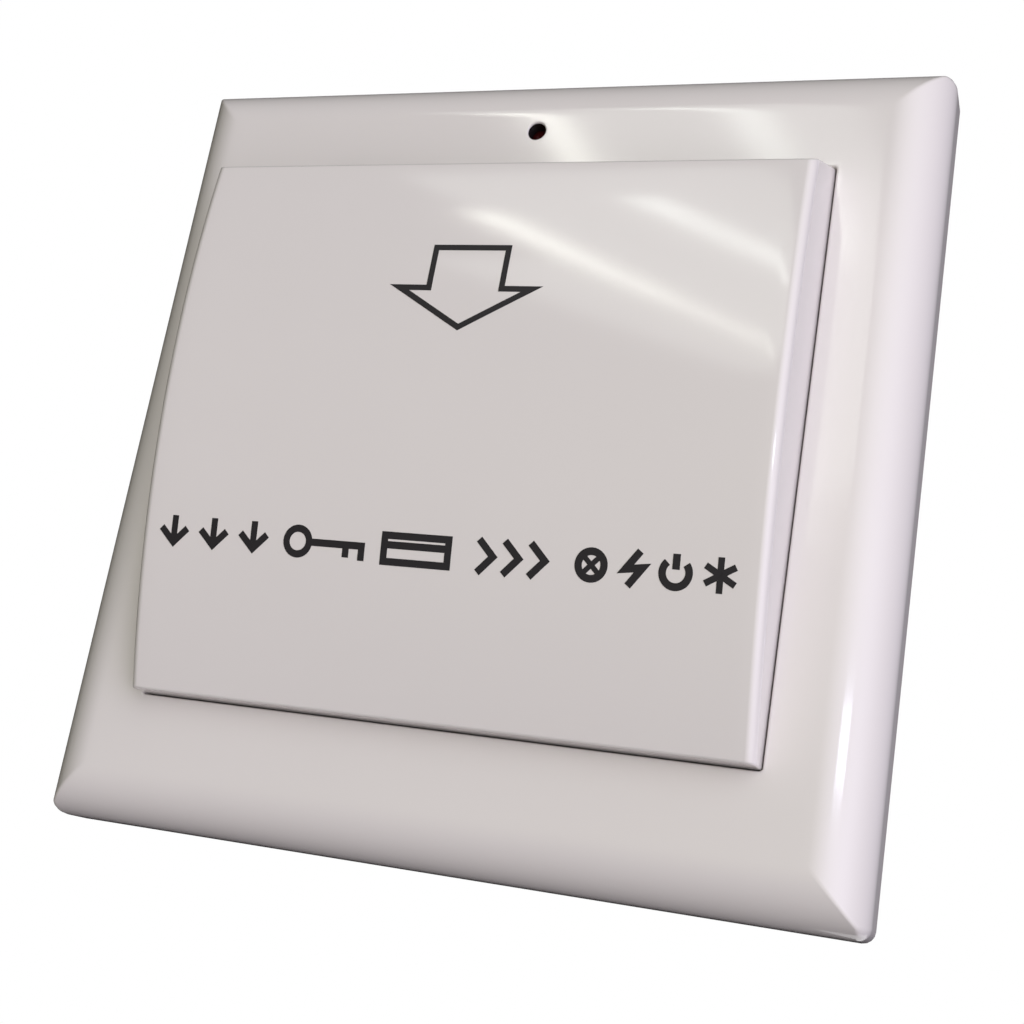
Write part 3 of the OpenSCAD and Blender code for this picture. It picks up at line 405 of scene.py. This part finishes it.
end_edge_r = 0.22
inner_r, inner_end_r = 0.4, 0.01
lip_lean = lip_drop / float(arc_height(lip_y) - face_z)
cover = loaf("card_shell", cover_x, 0.0, cover_bottom, cover_top, cover_foot, cover_edge_r, end_edge_r,
             lip_lean)
hollow = loaf("hollow", cover_x - cover_wall, cover_wall, cover_bottom + cover_wall, cover_top + past,
              cover_foot - past, inner_r, inner_end_r)
change(cover, "DIFFERENCE", [hollow])

# %% Snap tabs, card lead-in and screw notches
tab_y, tab_width, tab_low, tab_high, tab_depth = 13.0, 6.0, 3.6, 5.2, 1.0
tabs = []
for side in (-1, 1):
    near, far = sorted((side * (cover_x - cover_wall - tab_depth), side * (cover_x - cover_wall + root)))
    for y in (-tab_y, tab_y):
        tabs.append(block((near, y - tab_width / 2, tab_low), (far, y + tab_width / 2, tab_high)))
lead = cover_wall / 2
lead_y = lip_y - lead
lead_z = float(arc_height(lip_y, cover_wall)) - lead / 2
wedge_x = cover_x - cover_wall
wedge = np.array([[lead_y, lead_z], [cover_top, lead_z], [cover_top, lead_z + (cover_top - lead_y) / 2]])
lead_in = bar("lead_in", np.stack([np.insert(wedge, 0, x, axis=1) for x in (-wedge_x, wedge_x)]))
change(cover, "UNION", tabs)
change(cover, "DIFFERENCE", screw_rooms() + [lead_in])
settle(cover)
print(count(cover))

# %% [markdown]
# ## The print
# An arrow shows which way the card goes in, and a row of plain signs below it stands for what happens:
# arrows down, a key and a card, chevrons, and then a lamp, a bolt, the power sign and a star. Ink could be
# painted into the material, but then its edge would only be as sharp as a texture. Here each line is a
# thin ribbon that follows the arch, a few hundredths of a millimetre proud of the plastic.

# %% Ink ribbons
ink_foot = -0.05


def ring_path(x, y, radius, start=0.0, end=360.0, steps=32):
    """Points on an arc without its end: centre plus radius times (cos, sin), angles in degrees."""
    angle = np.radians(np.linspace(start, end, steps, endpoint=False))
    return np.array([x, y]) + radius * np.stack([np.cos(angle), np.sin(angle)], axis=-1)


def ribbon(corners, width, closed=False, step=0.6, top=ink_top):
    """A flat line of ink on the arch, as points and quads. Each corner is pushed half a width to both sides
    along the mitre of its two stretches. The stretches are then cut into steps, so that the line follows
    the arch, and the section is a rectangle from under the skin to just above it."""
    path = np.asarray(corners, dtype=float)
    ahead = np.roll(path, -1, axis=0) - path
    behind = np.roll(ahead, 1, axis=0)
    if not closed:
        ahead[-1], behind[0] = behind[-1], ahead[0]
    ahead = ahead / np.linalg.norm(ahead, axis=1, keepdims=True)
    behind = behind / np.linalg.norm(behind, axis=1, keepdims=True)
    along = ahead + behind
    along = along / np.linalg.norm(along, axis=1, keepdims=True)
    stretch = 1 / np.sum(along * ahead, axis=1, keepdims=True)
    push = np.stack([-along[:, 1], along[:, 0]], axis=-1) * stretch * width / 2
    sides = np.stack([path + push, path - push], axis=1)
    runs = []
    for here, there in zip(sides, np.roll(sides, -1, axis=0) if closed else sides[1:]):
        steps = math.ceil(np.abs(there - here).max() / step)
        runs.append(here + np.arange(steps)[:, None, None] / steps * (there - here))
    sides = np.concatenate(runs if closed else runs + [sides[-1:]])
    section = sides[:, [0, 0, 1, 1]]
    height = arc_height(section[..., 1]) + np.array([ink_foot, top, top, ink_foot])
    points = np.concatenate([section, height[..., None]], axis=-1).reshape(-1, 3)
    quads = np.array(grid_quads(len(sides), 4, close_rows=closed))
    if not closed:
        quads = np.concatenate([quads, np.arange(4)[None, :] + np.array([[0], [len(points) - 4]])])
    return points, quads


def printed(name, ribbons):
    """One piece of ink from several ribbons: their points in a row, their quads counted on."""
    points = np.concatenate([points for points, _ in ribbons])
    starts = np.cumsum([0] + [len(points) for points, _ in ribbons])
    quads = np.concatenate([quads + start for (_, quads), start in zip(ribbons, starts)])
    piece = new_piece(name, points, quads.tolist())
    piece.data.set_sharp_from_angle(angle=math.radians(CREASE))
    print(count(piece))
    return piece


# %% Arrow
arrow_x, arrow_line = -0.4, 0.6
shaft_half, head_half = 3.87, 7.05
arrow_top, arrow_shoulder, arrow_tip = 16.75, 12.32, 8.18
half_outline = [(shaft_half, arrow_top), (shaft_half, arrow_shoulder), (head_half, arrow_shoulder)]
arrow = [(arrow_x + x, y) for x, y in half_outline] + [(arrow_x, arrow_tip)]
arrow += [(arrow_x - x, y) for x, y in half_outline[::-1]]
ink = [printed("print_arrow", [ribbon(arrow, arrow_line, closed=True)])]

# %% Signs
sign_y, sign_half, sign_tall = -13.96, 1.25, 1.6
sign_line, fine_line, star_line, under_top = 0.7, 0.5, 0.6, 0.02


def line(*corners, width=sign_line, closed=False, top=ink_top):
    """A ribbon whose corners' heights count from the middle of the row of signs."""
    return ribbon([(x, sign_y + y) for x, y in corners], width, closed, top=top)


signs = []
barb, barb_y, tip_y, stem_y = 1.5, 0.35, -1.1, -0.8
for x in (-28.5, -23.9, -19.3):
    signs.append(line((x - barb, barb_y), (x, tip_y), (x + barb, barb_y)))
    signs.append(line((x, sign_tall), (x, stem_y), top=under_top))
key_x, key_end, long_tooth, tooth, tooth_step = -14.3, -7.3, -1.4, -1.2, 1.7
signs.append(ribbon(ring_path(key_x, sign_y, sign_half), sign_line, closed=True))
signs.append(line((key_x + sign_half, 0), (key_end, 0), (key_end, long_tooth)))
signs.append(line((key_end - tooth_step, 0), (key_end - tooth_step, tooth), top=under_top))
card_low, card_high, card_stripe = -4.9, 1.8, 0.35
signs.append(line((card_low, -sign_half), (card_high, -sign_half), (card_high, sign_half),
                  (card_low, sign_half), closed=True))
signs.append(line((card_low, card_stripe), (card_high, card_stripe), top=under_top))
chevron_half = 1.55
for x in (4.9, 7.5, 10.1):
    signs.append(line((x, chevron_half), (x + barb, 0), (x, -chevron_half)))
lamp_x, bolt_x, power_x, star_x = 16.1, 20.2, 24.1, 28.2
signs.append(ribbon(ring_path(lamp_x, sign_y, sign_half), sign_line, closed=True))
reach = sign_half / math.sqrt(2)
for y in (-reach, reach):
    signs.append(line((lamp_x - reach, -y), (lamp_x + reach, y), width=fine_line, top=under_top))
bolt = [(0.5, sign_tall), (-0.8, -0.1), (0.8, 0.1), (-0.5, -sign_tall)]
signs.append(line(*[(bolt_x + x, y) for x, y in bolt]))
power_gap, power_drop, power_foot = 42.0, 0.1, 0.2
power = ring_path(power_x, sign_y - power_drop, sign_half, 90 + power_gap, 450 - power_gap)
signs.append(ribbon(power, sign_line))
signs.append(line((power_x, power_foot), (power_x, sign_tall)))
for angle in np.radians((30, 90, 150)):
    x, y = sign_tall * math.cos(angle), sign_tall * math.sin(angle)
    signs.append(line((star_x - x, -y), (star_x + x, y), width=star_line))
ink.append(printed("print_signs", signs))

# %% [markdown]
# ## The return spring
# The lever's spring is wound from one steel wire: a leg that lies on the lever, two turns round the pin and
# a leg that leans on the cradle. On a real one the first leg goes along with the lever, and the turns give
# way bit by bit. A rigid copy would cut into the lever as it swings; this one is built as one rigid piece in
# its rest place.

# %% Return spring
wire_r, wire_crease, spring_turns = 0.25, 50, 2
spring_low, spring_high = lying_box("lever_spring")
coil_z = (spring_low[2] + spring_high[2]) / 2
coil_r = spring_high[2] - coil_z - wire_r
joints = {joint["name"]: joint for joint in frame["record"]["behaviour"]["joints"]}
coil_y = joints["lever_swing"]["pos_m"][2] / MM
lever_leg_x, cradle_leg_x = spring_low[0] + wire_r, spring_high[0] - wire_r


def wound(turns, steps=48, sides=16):
    """Loops of a round wire on a helix, with a straight leg at both ends. A point of the helix is the axis
    plus the radius times (sin, -cos) of its turn, and the wire's section lies between that direction and
    the axis."""
    turn = np.linspace(0, 2 * np.pi * turns, steps * turns + 1)
    x = np.linspace(lever_leg_x, cradle_leg_x, len(turn))
    coil = np.stack([x, coil_y + coil_r * np.sin(turn), coil_z - coil_r * np.cos(turn)], axis=-1)
    first, last = coil[0].copy(), coil[-1].copy()
    first[1], last[1] = spring_low[1], spring_high[1]
    path = np.concatenate([[first], coil, [last]])
    turn = np.concatenate([turn[:1], turn, turn[-1:]])
    outwards = np.stack([0 * turn, np.sin(turn), -np.cos(turn)], axis=-1)
    round_the_wire = np.linspace(0, 2 * np.pi, sides, endpoint=False)[:, None]
    along_pin = np.sin(round_the_wire) * np.array([1.0, 0.0, 0.0])
    return path[:, None] + wire_r * (along_pin + np.cos(round_the_wire) * outwards[:, None])


spring = bar("return_spring", wound(spring_turns))
smooth(spring, wire_crease)
print(count(spring))

# %% [markdown]
# ## Shared finishes
# Moulded plastic is never one flat colour: the melt leaves faint cloudy patches, the tool leaves a fine
# grain, and handling leaves hairlines and dust. One node group gives the cloud and the grain, another
# the hairlines, and each material sets its own amounts. Shaders stay in the materials themselves.

# %% Node helpers
def link(tree, outlet, inlet):
    """Joins two sockets."""
    tree.links.new(outlet, inlet)


def add(tree, kind, **settings):
    """A node of a kind. Settings that name an input set its value, the others set the node itself."""
    node = tree.nodes.new(kind)
    for name, value in settings.items():
        if hasattr(node, name):
            setattr(node, name, value)
        else:
            node.inputs[name.replace("_", " ")].default_value = value
    return node


def maths(tree, operation, first, second):
    """A Math node on two inputs, each a socket or a number."""
    node = tree.nodes.new("ShaderNodeMath")
    node.operation = operation
    for inlet, value in zip(node.inputs, (first, second)):
        if hasattr(value, "links"):
            link(tree, value, inlet)
        else:
            inlet.default_value = value
    return node.outputs[0]


def group(name, inlets, outlets):
    """An empty node group with named sockets, given as (name, socket type, default)."""
    tree = bpy.data.node_groups.new(name, "ShaderNodeTree")
    for label, kind, default in inlets:
        socket = tree.interface.new_socket(label, in_out="INPUT", socket_type=kind)
        if default is not None:
            socket.default_value = default
    for label, kind in outlets:
        tree.interface.new_socket(label, in_out="OUTPUT", socket_type=kind)
    return tree, tree.nodes.new("NodeGroupInput").outputs, tree.nodes.new("NodeGroupOutput").inputs


# %% Moulded skin
FLOAT, COLOR, VECTOR = "NodeSocketFloat", "NodeSocketColor", "NodeSocketVector"
skin, given, out = group(
    "moulded_skin",
    [("Place", VECTOR, None), ("Color", COLOR, (0.8, 0.8, 0.8, 1)),
     ("Cloud Color", COLOR, (0.7, 0.7, 0.7, 1)), ("Cloud Size", FLOAT, 60.0),
     ("Grain Size", FLOAT, 1500.0), ("Roughness", FLOAT, 0.3), ("Spread", FLOAT, 0.1)],
    [("Color", COLOR), ("Roughness", FLOAT), ("Height", FLOAT)])
cloud = add(skin, "ShaderNodeTexNoise", Detail=3.0, Roughness=0.55)
grain = add(skin, "ShaderNodeTexNoise", Detail=2.0, Roughness=0.6)
tint = add(skin, "ShaderNodeMix", data_type="RGBA")
link(skin, given["Place"], cloud.inputs["Vector"])
link(skin, given["Cloud Size"], cloud.inputs["Scale"])
link(skin, given["Place"], grain.inputs["Vector"])
link(skin, given["Grain Size"], grain.inputs["Scale"])
link(skin, cloud.outputs["Fac"], tint.inputs["Factor"])
link(skin, given["Color"], tint.inputs["A"])
link(skin, given["Cloud Color"], tint.inputs["B"])
link(skin, tint.outputs["Result"], out["Color"])
wander = maths(skin, "MULTIPLY", maths(skin, "SUBTRACT", cloud.outputs["Fac"], 0.5), given["Spread"])
link(skin, maths(skin, "ADD", given["Roughness"], wander), out["Roughness"])
link(skin, grain.outputs["Fac"], out["Height"])
print("group:", skin.name)

# %% Hairlines
hairlines, given, out = group(
    "hairlines",
    [("Place", VECTOR, None), ("Stretch", VECTOR, (300.0, 2500.0, 2500.0)), ("Amount", FLOAT, 0.5)],
    [("Mask", FLOAT)])
along = add(hairlines, "ShaderNodeVectorMath", operation="MULTIPLY")
streaks = add(hairlines, "ShaderNodeTexNoise", Scale=1.0, Detail=2.0)
sharp = add(hairlines, "ShaderNodeMapRange", From_Min=0.55, From_Max=0.75)
link(hairlines, given["Place"], along.inputs[0])
link(hairlines, given["Stretch"], along.inputs[1])
link(hairlines, along.outputs[0], streaks.inputs["Vector"])
link(hairlines, streaks.outputs["Fac"], sharp.inputs["Value"])
link(hairlines, maths(hairlines, "MULTIPLY", sharp.outputs[0], given["Amount"]), out["Mask"])
print("group:", hairlines.name)

# %% [markdown]
# ## Materials
# Each material is a Principled shader with the skin group in front of it. A finish is told apart by few
# things: its two close colours, how rough it is, the size of its grain and how deep the grain is. The
# table keeps those in one place, and metals get hairlines along their drawing direction. Ink is drier
# than plastic, so it mirrors less.

# %% Plastic, resin and paint
# colour, cloud colour, roughness, spread of roughness, grain per metre, depth of grain
FINISHES = {
    "gloss_white": ((0.70, 0.665, 0.645), (0.685, 0.65, 0.63), 0.09, 0.03, 900, 0.01),
    "inner_white": ((0.74, 0.72, 0.70), (0.70, 0.68, 0.66), 0.38, 0.12, 2600, 0.12),
    "frame_grey": ((0.60, 0.60, 0.59), (0.56, 0.56, 0.55), 0.45, 0.12, 2600, 0.16),
    "housing_grey": ((0.55, 0.55, 0.55), (0.51, 0.51, 0.51), 0.50, 0.14, 2400, 0.25),
    "lever_white": ((0.84, 0.84, 0.82), (0.80, 0.80, 0.77), 0.32, 0.10, 2200, 0.06),
    "board_green": ((0.03, 0.20, 0.09), (0.05, 0.25, 0.11), 0.35, 0.20, 1400, 0.10),
    "relay_blue": ((0.03, 0.10, 0.32), (0.02, 0.08, 0.27), 0.25, 0.12, 1800, 0.05),
    "capacitor_yellow": ((0.75, 0.50, 0.06), (0.70, 0.46, 0.05), 0.28, 0.12, 1800, 0.05),
    "can_sleeve": ((0.02, 0.03, 0.08), (0.015, 0.02, 0.06), 0.22, 0.15, 800, 0.10),
    "varistor_blue": ((0.04, 0.16, 0.36), (0.03, 0.13, 0.30), 0.30, 0.20, 700, 0.20),
    "black_resin": ((0.025, 0.025, 0.026), (0.018, 0.018, 0.019), 0.48, 0.14, 2600, 0.15),
    "block_green": ((0.06, 0.08, 0.08), (0.05, 0.065, 0.065), 0.42, 0.12, 2600, 0.12),
    "lamp_lens": ((0.05, 0.004, 0.004), (0.035, 0.003, 0.003), 0.12, 0.06, 900, 0.02),
    "printed_black": ((0.018, 0.016, 0.018), (0.026, 0.024, 0.026), 0.42, 0.15, 3000, 0.06),
}
# colour, cloud colour, roughness
METALS = {
    "steel": ((0.62, 0.62, 0.64), (0.52, 0.53, 0.55), 0.28),
    "tinned_metal": ((0.70, 0.70, 0.69), (0.60, 0.60, 0.59), 0.34),
    "brass": ((0.72, 0.53, 0.22), (0.62, 0.44, 0.17), 0.30),
}
BUMP_REACH = 0.00005
PLASTIC_CLOUD = 70.0
METAL_SPREAD, METAL_CLOUD, METAL_GRAIN = 0.2, 400.0, 3000.0
HAIRLINE_AMOUNT, HAIRLINE_DEPTH = 0.2, 0.15
INK_SHEEN = 0.15
materials = {}


def new_material(name, color, cloud_color, rough, spread, cloud_size, grain_size):
    """A material with the skin group joined to its Principled shader, and what the rest joins to."""
    material = bpy.data.materials.new(name + "_finish")
    material.use_nodes = True
    tree = material.node_tree
    shader = tree.nodes["Principled BSDF"]
    place = tree.nodes.new("ShaderNodeTexCoord").outputs["Object"]
    face = add(tree, "ShaderNodeGroup", node_tree=skin)
    for label, value in (("Color", (*color, 1)), ("Cloud Color", (*cloud_color, 1)),
                         ("Cloud Size", cloud_size), ("Grain Size", grain_size),
                         ("Roughness", rough), ("Spread", spread)):
        face.inputs[label].default_value = value
    link(tree, place, face.inputs["Place"])
    link(tree, face.outputs["Color"], shader.inputs["Base Color"])
    materials[name] = material
    return tree, shader, place, face


for name, (color, cloud_color, rough, spread, grain_size, grain_depth) in FINISHES.items():
    tree, shader, place, face = new_material(name, color, cloud_color, rough, spread, PLASTIC_CLOUD,
                                             grain_size)
    link(tree, face.outputs["Roughness"], shader.inputs["Roughness"])
    bump = add(tree, "ShaderNodeBump", Strength=grain_depth, Distance=BUMP_REACH)
    link(tree, face.outputs["Height"], bump.inputs["Height"])
    link(tree, bump.outputs["Normal"], shader.inputs["Normal"])
print_shader = materials["printed_black"].node_tree.nodes["Principled BSDF"]
print_shader.inputs["Specular IOR Level"].default_value = INK_SHEEN
for name, (color, cloud_color, rough) in METALS.items():
    tree, shader, place, face = new_material(name, color, cloud_color, rough, METAL_SPREAD, METAL_CLOUD,
                                             METAL_GRAIN)
    shader.inputs["Metallic"].default_value = 1.0
    lines = add(tree, "ShaderNodeGroup", node_tree=hairlines)
    link(tree, place, lines.inputs["Place"])
    lines.inputs["Amount"].default_value = HAIRLINE_AMOUNT
    worn = maths(tree, "ADD", face.outputs["Roughness"], lines.outputs["Mask"])
    link(tree, worn, shader.inputs["Roughness"])
    bump = add(tree, "ShaderNodeBump", Strength=HAIRLINE_DEPTH, Distance=BUMP_REACH)
    link(tree, lines.outputs["Mask"], bump.inputs["Height"])
    link(tree, bump.outputs["Normal"], shader.inputs["Normal"])
print("materials:", len(materials))

# %% [markdown]
# The lamp's bore is dark: the shade inside the narrow hole is painted near black into the plastic's colour.
# A second material on a few faces would do, but a mask is steadier: it is worked out from the distance to
# the bore's axis and the depth under the face.

# %% Painted shade in the bore
# painted shade: the colour that the bore's faces take, standing in for the shade inside the hole
PAINTED_BORE_SHADE = (0.012, 0.011, 0.012, 1)
bore_shade_margin = 0.05
tree = materials["gloss_white"].node_tree
shader = tree.nodes["Principled BSDF"]
place = tree.nodes.new("ShaderNodeTexCoord").outputs["Object"]
from_axis = add(tree, "ShaderNodeVectorMath", operation="MULTIPLY_ADD")
from_axis.inputs[1].default_value = (1, 0, 1)
from_axis.inputs[2].default_value = (0, 0, -lamp_y * MM)
link(tree, place, from_axis.inputs[0])
radius = add(tree, "ShaderNodeVectorMath", operation="LENGTH")
link(tree, from_axis.outputs[0], radius.inputs[0])
depth = tree.nodes.new("ShaderNodeSeparateXYZ")
link(tree, place, depth.inputs[0])
inside = maths(tree, "LESS_THAN", radius.outputs["Value"], (lamp_bore_r + bore_shade_margin) * MM)
under = maths(tree, "GREATER_THAN", depth.outputs["Y"], (lamp_mouth - face_z) * MM)
# painted shade: inside the bore and under the face, the plastic's colour is mixed to near black
paint_bore_shade = add(tree, "ShaderNodeMix", data_type="RGBA", B=PAINTED_BORE_SHADE)
link(tree, maths(tree, "MULTIPLY", inside, under), paint_bore_shade.inputs["Factor"])
link(tree, shader.inputs["Base Color"].links[0].from_socket, paint_bore_shade.inputs["A"])
link(tree, paint_bore_shade.outputs["Result"], shader.inputs["Base Color"])
print("bore:", round(2 * lamp_bore_r, 2), "mm across")

# %% [markdown]
# ## Dressing the pieces
# New pieces get their finish, and the CAD nodes they replace are hidden; the plate, the cover and the ink
# ride on the base body. CAD nodes stay where they are: they only get a material and, as live modifiers, a
# weld of their loose triangles and a fine bevel, because no moulded edge is knife sharp.

# %% New pieces
for piece, node in ((plate, "front_plate"), (cover, "card_cover")):
    piece.data.materials.clear()
    piece.data.materials.append(materials["gloss_white"])
    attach(piece, "base")
    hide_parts(node)
spring.data.materials.append(materials["steel"])
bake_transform(spring)
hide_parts("lever_spring")
for piece in ink:
    piece.data.materials.append(materials["printed_black"])
    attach(piece, "base")

# %% CAD nodes
WELD_REACH = 1e-6
EDGE_BREAK, EDGE_STEPS, EDGE_ANGLE = 0.00012, 2, 40
rebuilt = ("front_plate", "card_cover", "lever_spring")
dressed = [part for part in frame["record"]["subparts"] if part["node"] not in rebuilt]
for part in dressed:
    node = nodes[part["node"]]
    for slot in node.material_slots:
        slot.material = materials[part["material_slot"]]
    weld = node.modifiers.new("weld", "WELD")
    weld.merge_threshold = WELD_REACH
    bevel = node.modifiers.new("edge_break", "BEVEL")
    bevel.width = EDGE_BREAK
    bevel.segments = EDGE_STEPS
    bevel.limit_method = "ANGLE"
    bevel.angle_limit = math.radians(EDGE_ANGLE)
    bevel.harden_normals = True
print("dressed:", len(dressed), "nodes that keep their CAD shape")

# %% [markdown]
# ## Studio
# The photo has a white ground, soft light from the right, dark lower and left flanks, and two pale streaks
# on the glossy pocket. A dome picture could light it, but this lesson reads no pictures, so the world is a
# handful of soft round patches, each brightest in one direction. The camera itself sees plain white.

# %% World
# azimuth from straight ahead to the right, elevation, and radiance in red, green and blue
PATCHES = [
    (0, 0, (0.64, 0.64, 0.28)),
    (30, 0, (1.40, 1.38, 1.66)),
    (60, 0, (1.85, 1.77, 2.22)),
    (30, 35, (1.13, 1.16, 1.12)),
    (45, -35, (0.94, 0.88, 0.90)),
]
PATCH_FOCUS = 8.0


def heading(azimuth, elevation):
    """A unit vector: azimuth turns from the front, which faces -Y, towards +X, and elevation lifts it."""
    a, e = math.radians(azimuth), math.radians(elevation)
    return Vector((math.cos(e) * math.sin(a), -math.cos(e) * math.cos(a), math.sin(e)))


world = bpy.data.worlds.new("studio")
bpy.context.scene.world = world
world.use_nodes = True
sky = world.node_tree
sky.nodes.clear()
direction = sky.nodes.new("ShaderNodeTexCoord").outputs["Generated"]
glow = None
for azimuth, elevation, radiance in PATCHES:
    near = add(sky, "ShaderNodeVectorMath", operation="DOT_PRODUCT")
    near.inputs[1].default_value = heading(azimuth, elevation)
    link(sky, direction, near.inputs[0])
    fall_off = maths(sky, "MULTIPLY", maths(sky, "SUBTRACT", near.outputs["Value"], 1.0), PATCH_FOCUS)
    tinted = add(sky, "ShaderNodeVectorMath", operation="SCALE")
    tinted.inputs[0].default_value = radiance
    link(sky, maths(sky, "POWER", math.e, fall_off), tinted.inputs["Scale"])
    if glow is None:
        glow = tinted.outputs[0]
    else:
        both = add(sky, "ShaderNodeVectorMath", operation="ADD")
        link(sky, glow, both.inputs[0])
        link(sky, tinted.outputs[0], both.inputs[1])
        glow = both.outputs[0]
soft = add(sky, "ShaderNodeBackground", Strength=1.0)
link(sky, glow, soft.inputs["Color"])
white = add(sky, "ShaderNodeBackground", Color=(1, 1, 1, 1), Strength=1.0)
mix = sky.nodes.new("ShaderNodeMixShader")
link(sky, sky.nodes.new("ShaderNodeLightPath").outputs["Is Camera Ray"], mix.inputs[0])
link(sky, soft.outputs[0], mix.inputs[1])
link(sky, white.outputs[0], mix.inputs[2])
link(sky, mix.outputs[0], sky.nodes.new("ShaderNodeOutputWorld").inputs["Surface"])
print("world:", len(PATCHES), "patches")

# %% [markdown]
# ## Lights
# Streaks of that slant are long ceiling tubes that run out from the wall, mirrored in the arch. One long
# light could stand for each, but the lower streak fades towards its end, so that tube is in three lengths,
# each dimmer than the one before, and two wide dim panels give the pale ceiling round the tubes. A small
# strip makes the bright line on the right rounded edge. All of these are only mirrored, so the colour of
# the plastic stays as the world lights it. Three more stand behind the wall plane, for looks at the back.

# %% Lights
def panel(name, turned_to, place, size, radiance, color, lights=False, mirrored=True):
    """A rectangular light that shines along -Z of its turn. Its power is radiance times pi times area. It
    lights up matt colours, or is mirrored in gloss, or both."""
    lamp = bpy.data.lights.new(name, "AREA")
    lamp.shape = "RECTANGLE"
    lamp.size, lamp.size_y = size
    lamp.energy, lamp.color = radiance * math.pi * size[0] * size[1], color
    light = bpy.data.objects.new(name, lamp)
    light.matrix_world = Matrix.Translation(place) @ turned_to.to_4x4()
    light.visible_camera = False
    light.visible_diffuse, light.visible_glossy = lights, mirrored
    bpy.context.scene.collection.objects.link(light)


def facing(towards):
    """The turn of a light whose -Z points along a direction."""
    return towards.to_track_quat("-Z", "Y").to_matrix()


STRIP_SPOT, STRIP_HEADING, STRIP_AWAY = (40.0, -28.0), (34, 8.4), 1.02
STRIP_SIZE, STRIP_RADIANCE, STRIP_COLOR = (0.30, 0.06), 12.0, (0.80, 0.84, 1.0)
right_edge = Vector(stand_up((*STRIP_SPOT, face_z)))
away = heading(*STRIP_HEADING)
panel("strip", facing(-away), right_edge + STRIP_AWAY * away, STRIP_SIZE, STRIP_RADIANCE, STRIP_COLOR)
BACK_SIZE = (0.9, 0.9)
# place, radiance, whether it lights up matt colours, whether gloss mirrors it
BACK_LIGHTS = {
    "left_back": ((-1.1, 1.15, 0.8), 7.5, True, False),
    "right_back": ((0.4, 1.2, 1.0), 7.5, True, False),
    "under_back": ((0.3, 1.2, -0.85), 1.1, False, True),
}
for name, (place, radiance, lights, mirrored) in BACK_LIGHTS.items():
    panel(name, facing(-Vector(place)), place, BACK_SIZE, radiance, (1, 1, 1), lights, mirrored)
CEILING, DATUM = 1.0, 1.2
# place across at the datum from the wall, slope, near and far end, width, radiance and colour
TUBES = {
    "left_tube_near": (-0.690, 0.057, 1.36, 1.75, 0.045, 13.6, (0.97, 1.0, 0.90)),
    "left_tube_middle": (-0.690, 0.057, 1.75, 2.2, 0.045, 11.8, (0.97, 1.0, 0.90)),
    "left_tube_far": (-0.690, 0.057, 2.2, 3.2, 0.045, 9.2, (0.97, 1.0, 0.90)),
    "right_tube": (-0.464, 0.17, 1.26, 2.0, 0.05, 9.0, (0.94, 1.0, 0.94)),
    "near_panel": (-0.48, 0.057, 1.1, 3.2, 0.42, 2.1, (0.95, 1.0, 0.94)),
    "far_panel": (-0.81, 0.057, 1.75, 3.6, 0.24, 1.9, (0.95, 1.0, 0.94)),
}
for name, (across, slope, near, far, width, radiance, color) in TUBES.items():
    middle = (near + far) / 2
    place = (across + slope * (middle - DATUM), -middle, CEILING)
    aslant = Matrix.Rotation(math.atan(slope), 3, "Z")
    panel(name, aslant, place, (width, far - near), radiance, color)
print("lights:", 1 + len(BACK_LIGHTS) + len(TUBES))

# %% [markdown]
# ## Floor
# A studio floor is a sheet that bends up behind the object, so that no line shows where it ends. A bent
# sheet would stand in the way of some views, so this one is flat and fades with distance into the white
# of the world. It is only there to be seen: it throws no light on the switch and shows in no gloss.

# %% Floor
FLOOR_DROP, FLOOR_REACH = 0.30, 1.5
FLOOR_GREY, FLOOR_ROUGHNESS = (0.82, 0.82, 0.82, 1), 0.9
FADE_START, FADE_END = 0.35, 1.4
floor_half, floor_y = FLOOR_REACH / MM, -FLOOR_DROP / MM
corners = [(x * floor_half, floor_y, z * floor_half) for x, z in ((-1, -1), (1, -1), (1, 1), (-1, 1))]
floor = new_piece("floor", corners, [[0, 1, 2, 3]])
pale = bpy.data.materials.new("pale_floor")
pale.use_nodes = True
tree = pale.node_tree
ground = tree.nodes["Principled BSDF"]
ground.inputs["Base Color"].default_value = FLOOR_GREY
ground.inputs["Roughness"].default_value = FLOOR_ROUGHNESS
distance = add(tree, "ShaderNodeVectorMath", operation="LENGTH")
link(tree, tree.nodes.new("ShaderNodeTexCoord").outputs["Object"], distance.inputs[0])
fade = add(tree, "ShaderNodeMapRange", interpolation_type="SMOOTHSTEP", From_Min=FADE_START,
           From_Max=FADE_END)
link(tree, distance.outputs["Value"], fade.inputs["Value"])
glowing = add(tree, "ShaderNodeEmission", Color=(1, 1, 1, 1), Strength=1.0)
seamless = tree.nodes.new("ShaderNodeMixShader")
link(tree, fade.outputs[0], seamless.inputs[0])
link(tree, ground.outputs[0], seamless.inputs[1])
link(tree, glowing.outputs[0], seamless.inputs[2])
link(tree, seamless.outputs[0], tree.nodes["Material Output"].inputs["Surface"])
floor.data.materials.append(pale)
floor.visible_diffuse = floor.visible_glossy = floor.visible_shadow = False
bpy.context.scene.view_settings.view_transform = "Standard"
print("floor:", FLOOR_DROP, "m below the middle of the plate")
